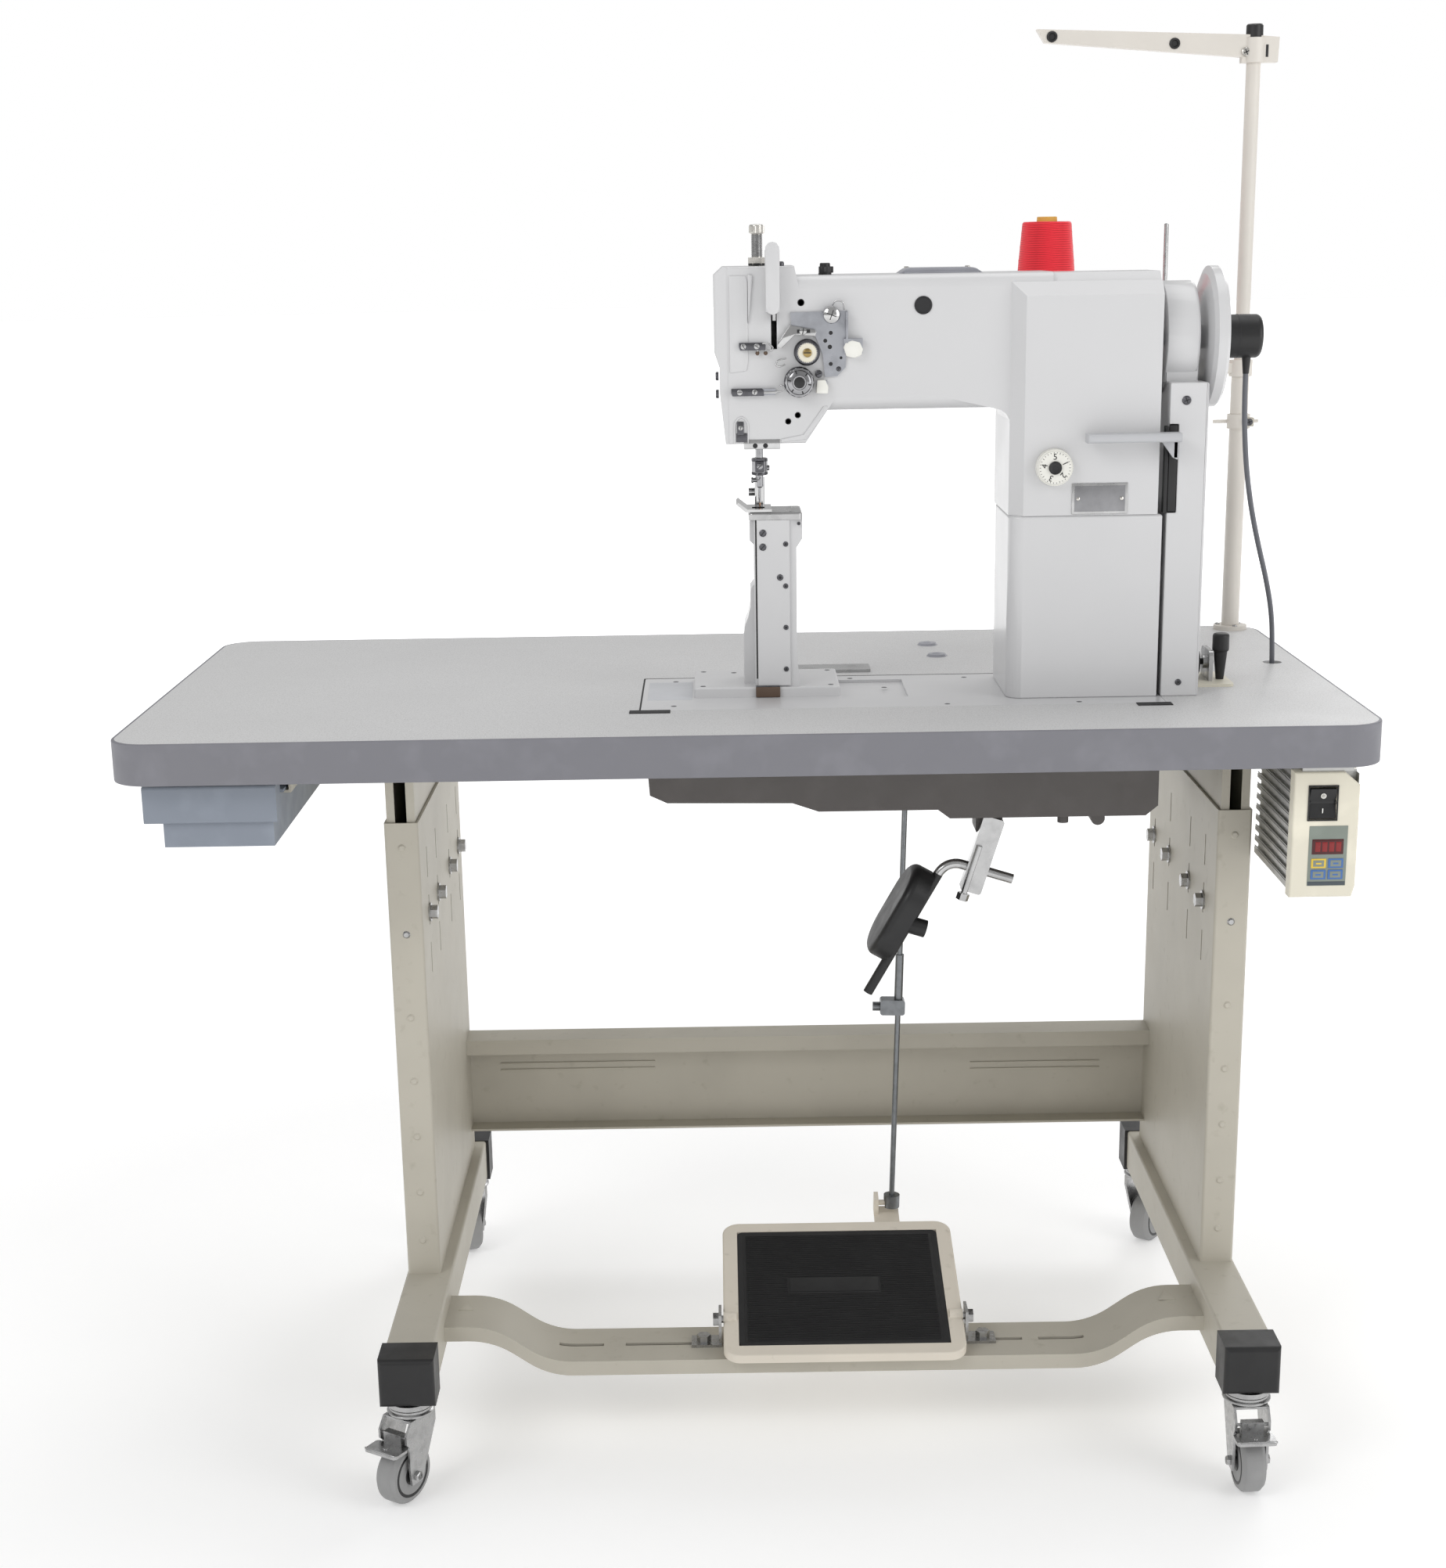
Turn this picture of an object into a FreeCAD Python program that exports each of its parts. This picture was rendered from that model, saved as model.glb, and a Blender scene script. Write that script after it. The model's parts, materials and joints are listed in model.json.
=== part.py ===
import FreeCAD, Part
import math
import os
import re
import Sketcher
from FreeCAD import Placement, Rotation, Vector

# Post-bed sewing machine on its table, stand and casters, in millimetres, +Z up.
# Every piece is drawn in the table's frame: X to the operator's right, Y away from the
# operator, Z = 0 on the table top, origin at the middle of the table. The cells frame_x,
# frame_y and table_height carry each piece into the part's frame, whose origin lies on
# the floor under the middle of the whole machine. Casters are drawn from the floor.

doc = FreeCAD.newDocument("PostBedMachine")
dims = doc.addObject("Spreadsheet::Sheet", "Dims")

CELLS = {
    # table top, edge band and its openings
    "table_length": 1200, "table_depth": 600, "table_thick": 40, "table_corner": 38,
    "table_height": 775, "band": 3, "frame_x": 0, "frame_y": 11.63,
    "bed_left": -103, "bed_right": 414, "bed_front": -172, "bed_back": 6, "bed_gap": 0.5,
    "bed_plate": 10, "bed_depth": 36, "bed_wall": 8, "bed_corner": 6,
    "slot_left": 420, "slot_right": 442, "slot_front": -14, "slot_back": 93,
    "cable_hole_x": 567, "cable_hole_y": 48, "cable_hole": 10,
    # stand: uprights, sliders, foot beams
    "stand_mid": 73.5, "leg_in": 407, "leg_out": 442, "leg_front": -120, "leg_back": 260,
    "leg_top": -122, "sheet": 2.5, "slide_gap": 0.5, "slider_low": -330,
    "foot_in": 395, "foot_out": 444, "foot_front": -288, "foot_back": 270,
    "foot_top": -619, "foot_low": -668, "cap_long": 42, "cap_edge": 3.5,
    "slot_long": 33, "slot_wide": 4, "slot_pitch": 52, "slot_top": -161, "bolt_z": -232,
    # stretcher and footrest
    "stretch_front": 215, "stretch_back": 255, "stretch_top": -470, "stretch_low": -590,
    "stretch_lip": 18, "rest_front": -209, "rest_back": -131, "rest_high": -640,
    "rest_low": -681, "rest_skirt": 16, "bend_out": 345, "bend_in": 287,
    # treadle and pitman rod
    "pedal_x": 95.5, "pedal_wide": 253, "pedal_long": 224, "pedal_thick": 10,
    "pedal_rim": 16, "mat_deep": 5, "pedal_tilt": 14.3, "pivot_y": -165, "pivot_z": -656,
    "pivot_ahead": 63, "pin": 4, "run_gap": 0.1,
    "rod_low_x": 160, "rod_top_x": 174, "rod_y": 22, "rod_low_z": -604, "rod_top_z": -100,
    "rod_ball": 6.5, "lever_y": 104,
    "rod": 3, "sleeve": 4.6, "sleeve_top": -312, "clamp_z": -372,
    # casters, drawn from the floor
    "wheel": 31.5, "wheel_wide": 24, "axle": 3.5, "trail": 17, "disc": 23, "fork_top": 92,
    "beam_low": 107, "fork_wide": 36, "fork_sheet": 2.5,
    # bed, post and column
    "post_left": 12, "post_right": 54, "post_front": -104, "post_back": -44, "post_top": 177,
    "post_base": 10, "post_wall": 4, "cover_left": 14.7, "cover_right": 47.4,
    "column_left": 261, "column_right": 410, "column_front": -138, "column_back": -4,
    "column_split": 180, "column_top": 401, "column_wall": 9,
    # arm and head
    "arm_front": -125, "arm_back": -22, "arm_low": 283, "arm_top": 410, "arm_soft": 12,
    "head_left": -11, "head_low": 252.5, "head_top": 419, "head_right": 63,
    "face_left": -24.5, "cavity_right": 56,
    # main shaft line, handwheel and belt drive
    "shaft_y": -72, "shaft_z": 345, "shaft": 7.5, "bore": 26, "hand_wheel": 67.5,
    "wheel_left": 452.5, "wheel_right": 470, "pulley": 34, "belt_x": 430, "belt": 10,
    "motor_y": 66, "motor_z": -106, "motor": 50, "motor_left": 226,
    "motor_right": 402, "sync": 21, "sync_right": 512,
    # belt cover
    "guard_left": 414, "guard_right": 451.5, "guard_top": 305, "guard_wall": 2.5,
    "guard_back": 96, "hood_left": 412, "hood_right": 444, "hood": 54,
    # needle, presser and thread parts
    "needle_x": 18.8, "needle_y": -85, "needle_bar": 3.6, "presser_y": -60, "presser": 4,
    "dial_x": 303, "dial_z": 227, "dial": 18,
    # drawer, oil pan, knee lifter and control box
    "drawer_left": -556, "drawer_right": -451, "drawer_front": -270, "drawer_back": 60,
    "drawer_low": -106, "drawer_wall": 2.5,
    "pan_left": -98, "pan_right": 408, "pan_front": -178, "pan_back": 8, "pan_low": -112,
    "knee_x": 246, "knee_z": -126, "knee_shaft": 7, "knee_lean": 17.4,
    "box_left": 523, "box_right": 583, "box_front": -268, "box_back": -100, "box_top": -50,
    "box_low": -173, "bezel": 16,
    # thread stand
    "pole_x": 569, "pole_y": 276, "pole": 10, "pole_thin": 7.8, "pole_step": 300,
    "pole_top": 624, "rest_z": 296, "spool_x": 347, "spool_gap": 133, "tray": 38,
    "spool_pin": 2.5, "spool_pin_top": 453, "cone_low": 40, "cone_top": 27, "cone_high": 153,
}

for row, (alias, value) in enumerate(CELLS.items(), start=1):
    dims.set("A%d" % row, alias)
    dims.set("B%d" % row, str(value))
    dims.setAlias("B%d" % row, alias)
doc.recompute()


def formula(text):
    """A formula with every cell name led by the sheet's name."""
    return re.sub(r"[a-z_]+", lambda word: "Dims." + word.group(0)
                  if word.group(0) in CELLS else word.group(0), str(text))


def bind(obj, **paths):
    """Bind properties to formulas; a double underline in a path stands for a dot."""
    for path, text in paths.items():
        obj.setExpression(path.replace("__", "."), formula(text))
    return obj


def place(obj, x, y, z):
    return bind(obj, Placement__Base__x=x, Placement__Base__y=y, Placement__Base__z=z)


# ---- solids -------------------------------------------------------------------------

AXES = {"x": Rotation(Vector(0, 1, 0), 90), "y": Rotation(Vector(1, 0, 0), -90), "z": Rotation()}


def block(name, x, y, z):
    """Box between three (low, high) pairs of formulas."""
    obj = doc.addObject("Part::Box", name)
    bind(obj, Length="(%s) - (%s)" % (x[1], x[0]), Width="(%s) - (%s)" % (y[1], y[0]),
         Height="(%s) - (%s)" % (z[1], z[0]))
    return place(obj, x[0], y[0], z[0])


def along(axis, centre, span):
    """Start point of a round solid: centre holds its two other coordinates."""
    point = list(centre)
    point.insert("xyz".index(axis), span[0])
    return point


def rod(name, axis, centre, radius, span):
    """Cylinder along an axis, through centre, over a (low, high) span."""
    obj = doc.addObject("Part::Cylinder", name)
    obj.Placement = Placement(Vector(), AXES[axis])
    bind(obj, Radius=radius, Height="(%s) - (%s)" % (span[1], span[0]))
    return place(obj, *along(axis, centre, span))


def taper(name, axis, centre, radii, span):
    """Cone along an axis; radii are at the low and the high end of the span."""
    obj = doc.addObject("Part::Cone", name)
    obj.Placement = Placement(Vector(), AXES[axis])
    bind(obj, Radius1=radii[0], Radius2=radii[1], Height="(%s) - (%s)" % (span[1], span[0]))
    return place(obj, *along(axis, centre, span))


def ball(name, centre, radius):
    obj = doc.addObject("Part::Sphere", name)
    bind(obj, Radius=radius)
    return place(obj, *centre)


def hexagon(name, axis, centre, across, span):
    """Hexagonal bar along an axis, across flats."""
    obj = doc.addObject("Part::Prism", name)
    obj.Polygon = 6
    obj.Placement = Placement(Vector(), AXES[axis])
    bind(obj, Circumradius="(%s) / 1.732" % across, Height="(%s) - (%s)" % (span[1], span[0]))
    return place(obj, *along(axis, centre, span))


def fuse(name, *shapes):
    obj = doc.addObject("Part::MultiFuse", name)
    obj.Shapes = list(shapes)
    obj.Refine = True
    return obj


def group(name, *shapes):
    """Separate solids that share one node."""
    obj = doc.addObject("Part::Compound", name)
    obj.Links = list(shapes)
    return obj


def cut(name, base, *tools):
    obj = doc.addObject("Part::Cut", name)
    obj.Base = base
    obj.Tool = tools[0] if len(tools) == 1 else fuse(name + "_cutters", *tools)
    obj.Refine = True
    return obj


def softened(name, base, size, chosen, feature="Part::Fillet"):
    """Round or chamfer the edges of base that the test chosen(edge) picks."""
    doc.recompute()
    edges = [index for index, edge in enumerate(base.Shape.Edges, start=1) if chosen(edge)]
    obj = doc.addObject(feature, name)
    obj.Base = base
    reach = float(dims.get(size)) if size in CELLS else float(size)
    obj.Edges = [(index, reach, reach) for index in edges]
    return obj


def runs(edge, axis):
    """True when an edge runs straight along an axis."""
    if edge.Curve.TypeId != "Part::GeomLine":
        return False
    reach = edge.Vertexes[-1].Point - edge.Vertexes[0].Point
    return abs(abs(reach["xyz".index(axis)]) - edge.Length) < 0.01


def middle(edge):
    return edge.BoundBox.Center


# ---- sketched bodies ------------------------------------------------------------------

PLANES = {"XY": "XY_Plane", "XZ": "XZ_Plane", "YZ": "YZ_Plane"}


def sketch_on(body, plane, name, height):
    """Sketch on one of the body's origin planes, raised along the plane's normal."""
    sketch = body.newObject("Sketcher::SketchObject", name)
    role = PLANES[plane]
    face = [item for item in body.Origin.OriginFeatures if item.Role == role][0]
    sketch.AttachmentSupport = [(face, "")]
    sketch.MapMode = "FlatFace"
    return bind(sketch, AttachmentOffset__Base__z=height)


def outline(sketch, corners):
    """Closed outline of straight runs; each corner is a pair of formulas, held from the origin."""
    count = len(corners)
    spots = [Vector(10 * math.cos(2 * math.pi * i / count), 10 * math.sin(2 * math.pi * i / count), 0)
             for i in range(count)]
    for i in range(count):
        sketch.addGeometry(Part.LineSegment(spots[i], spots[(i + 1) % count]))
    for i in range(count):
        sketch.addConstraint(Sketcher.Constraint("Coincident", i, 2, (i + 1) % count, 1))
    for i, (across, up) in enumerate(corners):
        for kind, text in (("DistanceX", across), ("DistanceY", up)):
            index = sketch.addConstraint(Sketcher.Constraint(kind, -1, 1, i, 1, 1.0 + i))
            sketch.setExpression("Constraints[%d]" % index, formula(text))


def ring(sketch, centre, radius):
    """Circle held from the origin."""
    edge = sketch.addGeometry(Part.Circle(Vector(1, 1, 0), Vector(0, 0, 1), 3))
    for kind, text in (("DistanceX", centre[0]), ("DistanceY", centre[1])):
        index = sketch.addConstraint(Sketcher.Constraint(kind, -1, 1, edge, 3, 1.0))
        sketch.setExpression("Constraints[%d]" % index, formula(text))
    index = sketch.addConstraint(Sketcher.Constraint("Radius", edge, 3.0))
    sketch.setExpression("Constraints[%d]" % index, formula(radius))


def start_of(plane, span):
    """Height of a sketch plane's pad start: the XZ plane looks along -Y."""
    return "-(%s)" % span[1] if plane == "XZ" else span[0]


def profile(name, plane, corners, span, holes=()):
    """Body padded from an outline across a (low, high) span, with round holes through it."""
    body = doc.addObject("PartDesign::Body", name)
    sketch = sketch_on(body, plane, name + "_outline", start_of(plane, span))
    outline(sketch, corners)
    for centre, radius in holes:
        ring(sketch, centre, radius)
    pad = body.newObject("PartDesign::Pad", name + "_pad")
    pad.Profile = sketch
    bind(pad, Length="(%s) - (%s)" % (span[1], span[0]))
    return body


def pocket(body, plane, corners, span):
    """Straight-sided pocket through a (low, high) span of a body."""
    count = len([item for item in body.Group if item.TypeId == "PartDesign::Pocket"])
    name = "%s_pocket_%d" % (body.Name, count)
    before = volume(body)
    sketch = sketch_on(body, plane, name + "_outline", start_of(plane, span))
    outline(sketch, corners)
    hole = body.newObject("PartDesign::Pocket", name)
    hole.Profile = sketch
    hole.Reversed = True
    bind(hole, Length="(%s) - (%s)" % (span[1], span[0]))
    if volume(body) > before - 1e-3:
        raise RuntimeError("pocket cuts nothing: " + name)
    return hole


def volume(body):
    doc.recompute()
    return body.Shape.Volume


def dress(body, kind, size, chosen):
    """Fillet or chamfer the body's edges that the test chosen(edge) picks."""
    doc.recompute()
    tip = body.Tip
    edges = ["Edge%d" % i for i, edge in enumerate(tip.Shape.Edges, start=1) if chosen(edge)]
    feature = body.newObject("PartDesign::" + kind, "%s_%s_%d" % (body.Name, kind.lower(), len(body.Group)))
    feature.Base = (tip, edges)
    bind(feature, **{"Radius" if kind == "Fillet" else "Size": size})
    return feature


def turned(name, axis, centre, stations):
    """Body of revolution about an X or Z axis; stations are (position, radius) formulas."""
    body = doc.addObject("PartDesign::Body", name)
    sketch = sketch_on(body, "XZ", name + "_outline", "-(%s)" % centre[0])
    if axis == "x":
        corners = [(place_, "(%s) + (%s)" % (centre[1], size)) for place_, size in stations]
        ends = [(stations[-1][0], centre[1]), (stations[0][0], centre[1])]
    else:
        corners = [("(%s) + (%s)" % (centre[1], size), place_) for place_, size in stations]
        ends = [(centre[1], stations[-1][0]), (centre[1], stations[0][0])]
    outline(sketch, corners + ends)
    spin = body.newObject("PartDesign::Revolution", name + "_spin")
    spin.Profile = sketch
    spin.ReferenceAxis = (sketch, ["Edge%d" % (len(stations) + 1)])
    spin.Angle = 360
    return body


def bent_path(points, share=0.45, bend=None):
    """Wire of straight runs joined by tangent arcs; prints each arc's radius."""
    spots = [Vector(*point) for point in points]
    edges = []
    radii = []
    start = spots[0]
    for before, corner, after in zip(spots, spots[1:], spots[2:]):
        back = (before - corner).normalize()
        ahead = (after - corner).normalize()
        half = (math.pi - back.getAngle(ahead)) / 2
        reach = share * min((before - corner).Length, (after - corner).Length)
        if bend:
            reach = bend * math.tan(half)
        radii.append(reach / math.tan(half))
        to_middle = (back + ahead).normalize()
        centre = corner + to_middle * (radii[-1] / math.cos(half))
        enter = corner + back * reach
        leave = corner + ahead * reach
        edges.append(Part.LineSegment(start, enter).toShape())
        edges.append(Part.Arc(enter, centre - to_middle * radii[-1], leave).toShape())
        start = leave
    edges.append(Part.LineSegment(start, spots[-1]).toShape())
    return Part.Wire(edges), radii


def bent_rod(name, points, radius, bend=None):
    """Round bar that follows straight runs and arcs."""
    wire, radii = bent_path(points, bend=bend)
    first = (Vector(*points[1]) - Vector(*points[0])).normalize()
    section = Part.Wire([Part.Circle(Vector(*points[0]), first, radius).toShape()])
    solid = wire.makePipeShell([section], True, False, 2)
    expected = math.pi * radius ** 2 * wire.Length
    print(name, "length %.1f" % wire.Length, "volume ratio %.4f" % (solid.Volume / expected),
          "radii", [round(value, 1) for value in radii])
    obj = doc.addObject("Part::Feature", name)
    obj.Shape = solid
    return obj


# ---- nodes --------------------------------------------------------------------------

NODES = []


def node(name, obj, from_floor=False):
    """Name a finished piece and carry it from the table's frame into the part's frame."""
    if obj.TypeId in ("Part::Box", "Part::Cylinder", "Part::Cone", "Part::Prism"):
        obj = group(name + "_single", obj)
    obj.Label = name
    place(obj, "frame_x", "frame_y", "0" if from_floor else "table_height")
    NODES.append(obj)
    return obj


def hung(name, obj, x, y, z, axis="y", angle="0", from_floor=False):
    """Name a piece drawn about its own pivot; (x, y, z) is the pivot, angle its lean."""
    obj.Label = name
    obj.Placement = Placement(Vector(), Rotation(Vector(*[float(axis == a) for a in "xyz"]), 1))
    bind(obj, Placement__Rotation__Angle=angle)
    height = z if from_floor else "table_height + (%s)" % z
    place(obj, "frame_x + (%s)" % x, "frame_y + (%s)" % y, height)
    NODES.append(obj)
    return obj


# ---- table --------------------------------------------------------------------------

def rounded_board(name, inset, span):
    """Board with the table's outline, set in by a formula, with rounded corners."""
    board = block(name + "_board", ("-table_length/2 + " + inset, "table_length/2 - " + inset),
                  ("-table_depth/2 + " + inset, "table_depth/2 - " + inset), span)
    round_by = CELLS["table_corner"] - (CELLS["band"] if inset == "band" else 0)
    return softened(name + "_round", board, round_by, lambda edge: runs(edge, "z"))


def make_tabletop():
    thick = ("-table_thick", "0")
    board = rounded_board("top", "band", thick)
    opening = block("bed_opening", ("bed_left - bed_gap", "bed_right + bed_gap"),
                    ("bed_front - bed_gap", "bed_back + bed_gap"), ("-table_thick - 1", "1"))
    belt_slot = block("belt_slot", ("slot_left", "slot_right"), ("slot_front", "slot_back"),
                      ("-table_thick - 1", "1"))
    cable_way = rod("cable_way", "z", ("cable_hole_x", "cable_hole_y"), "cable_hole",
                    ("-table_thick - 1", "1"))
    pole_way = rod("pole_way", "z", ("pole_x", "pole_y"), "pole", ("-table_thick - 1", "1"))
    rests = [block("rest_%d" % i, rest_x, ("bed_front - 14", "bed_front"), ("-6", "1"))
             for i, rest_x in enumerate(REST_SPANS)]
    node("tabletop", cut("top_cut", board, opening, belt_slot, cable_way, pole_way, *rests))
    outer = rounded_board("band", "0", thick)
    inner = rounded_board("band_inner", "band", ("-table_thick - 1", "1"))
    band = cut("band_ring", outer, inner)
    node("table_edge_band", softened("band_soft", band, 1.2, lambda edge: abs(
        middle(edge).z + 0.5 * CELLS["table_thick"]) > 19 and on_rim(edge)))


def on_rim(edge):
    """True on the table's outermost edges."""
    box = edge.BoundBox
    half_long, half_deep = CELLS["table_length"] / 2, CELLS["table_depth"] / 2
    return (max(abs(box.XMin), abs(box.XMax)) > half_long - 0.1
            or max(abs(box.YMin), abs(box.YMax)) > half_deep - 0.1)


# rubber rests at the bed's two front corners
REST_SPANS = (("bed_left - 10", "bed_left + 30"), ("bed_right - 30", "bed_right + 4"))


def make_table_rubbers():
    rests = [block("rubber_%d" % i, rest_x, ("bed_front - 14", "bed_front"), ("-6", "0.8"))
             for i, rest_x in enumerate(REST_SPANS)]
    domes = []
    for i, (x, y) in enumerate((("211", "197"), ("215", "122"))):
        foot = taper("dome_foot_%d" % i, "z", (x, y), ("11.5", "9.5"), ("0", "2.5"))
        knob = ball("dome_knob_%d" % i, (x, y, "-11"), "15")
        below = rod("dome_below_%d" % i, "z", (x, y), "17", ("-28", "0"))
        domes.append(cut("dome_%d" % i, fuse("dome_body_%d" % i, foot, knob), below))
    plate = block("hinge_plate", ("59", "136"), ("26", "62"), ("0", "3"))
    plate = softened("hinge_plate_soft", plate, 2, lambda edge: runs(edge, "z"))
    node("table_rubbers", group("rubber_group", *(rests + domes + [plate])))


def make_drawer():
    """Tray that slides towards the operator on two rails under the table."""
    lip = block("lip", ("drawer_left - 17", "drawer_right + 5"), ("drawer_front - 6", "drawer_front + 18"),
                ("-82", "-46"))
    lip = softened("lip_soft", lip, 3, lambda edge: runs(edge, "x"))
    box = profile("drawer_box", "YZ", (("drawer_front", "drawer_low"), ("drawer_back - 20", "drawer_low"),
                  ("drawer_back", "-82"), ("drawer_back", "-46"), ("drawer_front", "-46")),
                  ("drawer_left", "drawer_right"))
    room = profile("drawer_room", "YZ", (("drawer_front + drawer_wall", "drawer_low + drawer_wall"),
                   ("drawer_back - 21", "drawer_low + drawer_wall"), ("drawer_back - drawer_wall", "-81"),
                   ("drawer_back - drawer_wall", "-40"), ("drawer_front + drawer_wall", "-40")),
                   ("drawer_left + drawer_wall", "drawer_right - drawer_wall"))
    wings = block("drawer_wings", ("drawer_left - 8", "drawer_right + 8"),
                  ("drawer_front + 18", "drawer_back"), ("-58", "-55"))
    tray = cut("drawer_tray_cut", fuse("drawer_outer", lip, box, wings), room)
    node("drawer_tray", tray)


def rail(name, x, foot_x, seat_x):
    """Angle rail: a wall down from the table, a foot under it and a ledge for the drawer's wing."""
    wall = block(name + "_wall", x, ("-240", "drawer_back + 6"), ("-61", "-table_thick"))
    foot = block(name + "_foot", foot_x, ("-240", "drawer_back + 6"), ("-42.5", "-table_thick"))
    seat = block(name + "_seat", seat_x, ("-240", "drawer_back + 6"), ("-61", "-58.4"))
    return fuse(name, wall, foot, seat)


def make_under_table_brackets():
    """Height sliders that run in the uprights, and the drawer's rails."""
    pieces = [slider(side) for side in (-1, 1)]
    left, right = "drawer_left - 11", "drawer_right + 11"
    pieces.append(rail("rail_l", (left + " - 2", left), (left + " - 16", left), (left, left + " + 9")))
    pieces.append(rail("rail_r", (right, right + " + 2"), (right, right + " + 16"), (right + " - 9", right)))
    node("under_table_brackets", group("bracket_group", *pieces))


def side_span(side, inner, outer):
    """X span between two distances from the stand's middle, on one side."""
    low, high = (inner, outer) if side > 0 else (outer, inner)
    sign = "+" if side > 0 else "-"
    return ("stand_mid %s (%s)" % (sign, low), "stand_mid %s (%s)" % (sign, high))


def slider(side):
    tag = "slider_r" if side > 0 else "slider_l"
    gap = "(sheet + slide_gap)"
    tube = block(tag + "_tube", side_span(side, "leg_in + " + gap, "leg_out - " + gap),
                 ("leg_front + " + gap, "leg_back - " + gap), ("slider_low", "-table_thick - 2"))
    room = block(tag + "_room",
                 side_span(side, "leg_in + 2*sheet + slide_gap", "leg_out - 2*sheet - slide_gap"),
                 ("leg_front + 2*sheet + slide_gap", "leg_back - 2*sheet - slide_gap"),
                 ("slider_low - 1", "-table_thick - 2 - sheet"))
    face = block(tag + "_slot", side_span(side, "(leg_in + leg_out)/2 - 6", "(leg_in + leg_out)/2 + 6"),
                 ("leg_front", "leg_front + 20"), ("slider_low + 20", "-table_thick - 4"))
    flange = block(tag + "_flange", side_span(side, "leg_in - 10", "leg_out + 10"),
                   ("leg_front - 8", "leg_back + 8"), ("-table_thick - 2", "-table_thick"))
    return fuse(tag, cut(tag + "_cut", tube, room, face), flange)


# ---- stand --------------------------------------------------------------------------

def leg(side):
    """Upright sleeve with slotted inner wall, standing on its foot beam."""
    tag = "right_leg" if side > 0 else "left_leg"
    sleeve = block(tag + "_sleeve", side_span(side, "leg_in", "leg_out"), ("leg_front", "leg_back"),
                   ("foot_top", "leg_top"))
    sleeve = softened(tag + "_soft", sleeve, 3, lambda edge: runs(edge, "z"))
    room = block(tag + "_room", side_span(side, "leg_in + sheet", "leg_out - sheet"),
                 ("leg_front + sheet", "leg_back - sheet"), ("foot_top - 10", "leg_top + 1"))
    slots = []
    for column, y in enumerate((-62, 18, 132, 224)):
        for row in range(3):
            top = "slot_top - %d*slot_pitch" % row
            slots.append(block("%s_slot_%d%d" % (tag, column, row),
                               side_span(side, "leg_in - 1", "leg_in + sheet + 1"),
                               ("%d - slot_wide/2" % y, "%d + slot_wide/2" % y), (top + " - slot_long", top)))
    beam = block(tag + "_beam", side_span(side, "foot_in", "foot_out"), ("foot_front", "foot_back"),
                 ("foot_low", "foot_top"))
    beam = softened(tag + "_beam_soft", beam, 3, lambda edge: runs(edge, "y"))
    hollow = block(tag + "_hollow", side_span(side, "foot_in + sheet", "foot_out - sheet"),
                   ("foot_front - 1", "foot_back + 1"), ("foot_low + sheet", "foot_top - sheet"))
    tube = cut(tag + "_tube", beam, hollow)
    node(tag, fuse(tag + "_joined", cut(tag + "_cut", sleeve, room, *slots), tube))


def make_end_caps():
    """Moulded plugs that close the foot beams and hold the caster sockets."""
    caps = []
    for side in (-1, 1):
        for end in (-1, 1):
            tag = "cap_%s%s" % ("lr"[side > 0], "fb"[end > 0])
            face = "foot_front" if end < 0 else "foot_back"
            near, far = face, "%s %s cap_long" % (face, "-" if end < 0 else "+")
            span = (far, near) if end < 0 else (near, far)
            shell = block(tag, side_span(side, "foot_in - cap_edge", "foot_out + cap_edge"), span,
                          ("foot_low - 1", "foot_top + 1"))
            shell = softened(tag + "_soft", shell, 5, lambda edge, end=end: cap_edge_chosen(edge, end))
            plug = block(tag + "_plug", side_span(side, "foot_in + sheet", "foot_out - sheet"),
                         (face, face + " + 18") if end < 0 else (face + " - 18", face),
                         ("foot_low + sheet", "foot_top - sheet"))
            caps.append(fuse(tag + "_joined", shell, plug))
    node("foot_end_caps", group("cap_group", *caps))


def cap_edge_chosen(edge, end):
    """The cap's outer end: its four upright and level edges."""
    outer = CELLS["foot_front"] - CELLS["cap_long"] if end < 0 else CELLS["foot_back"] + CELLS["cap_long"]
    box = edge.BoundBox
    return abs(box.YMin - outer) < 0.1 and abs(box.YMax - outer) < 0.1


def make_stretcher():
    """Pressed channel between the uprights, open to the front, with a folded top lip."""
    front, back, top, low = "stretch_front", "stretch_back", "stretch_top", "stretch_low"
    body = profile("stretcher_body", "YZ", (
        (back, low), (back, top), (front, top), (front, top + " - stretch_lip"),
        (front + " + sheet", top + " - stretch_lip"), (front + " + sheet", top + " - sheet"),
        (back + " - sheet", top + " - sheet"), (back + " - sheet", low + " + sheet"),
        (front + " + 14", low + " + sheet"), (front + " + 14", low)), side_to_side("leg_in"))
    node("stretcher", body)


def side_to_side(reach):
    return ("stand_mid - " + reach, "stand_mid + " + reach)


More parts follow.
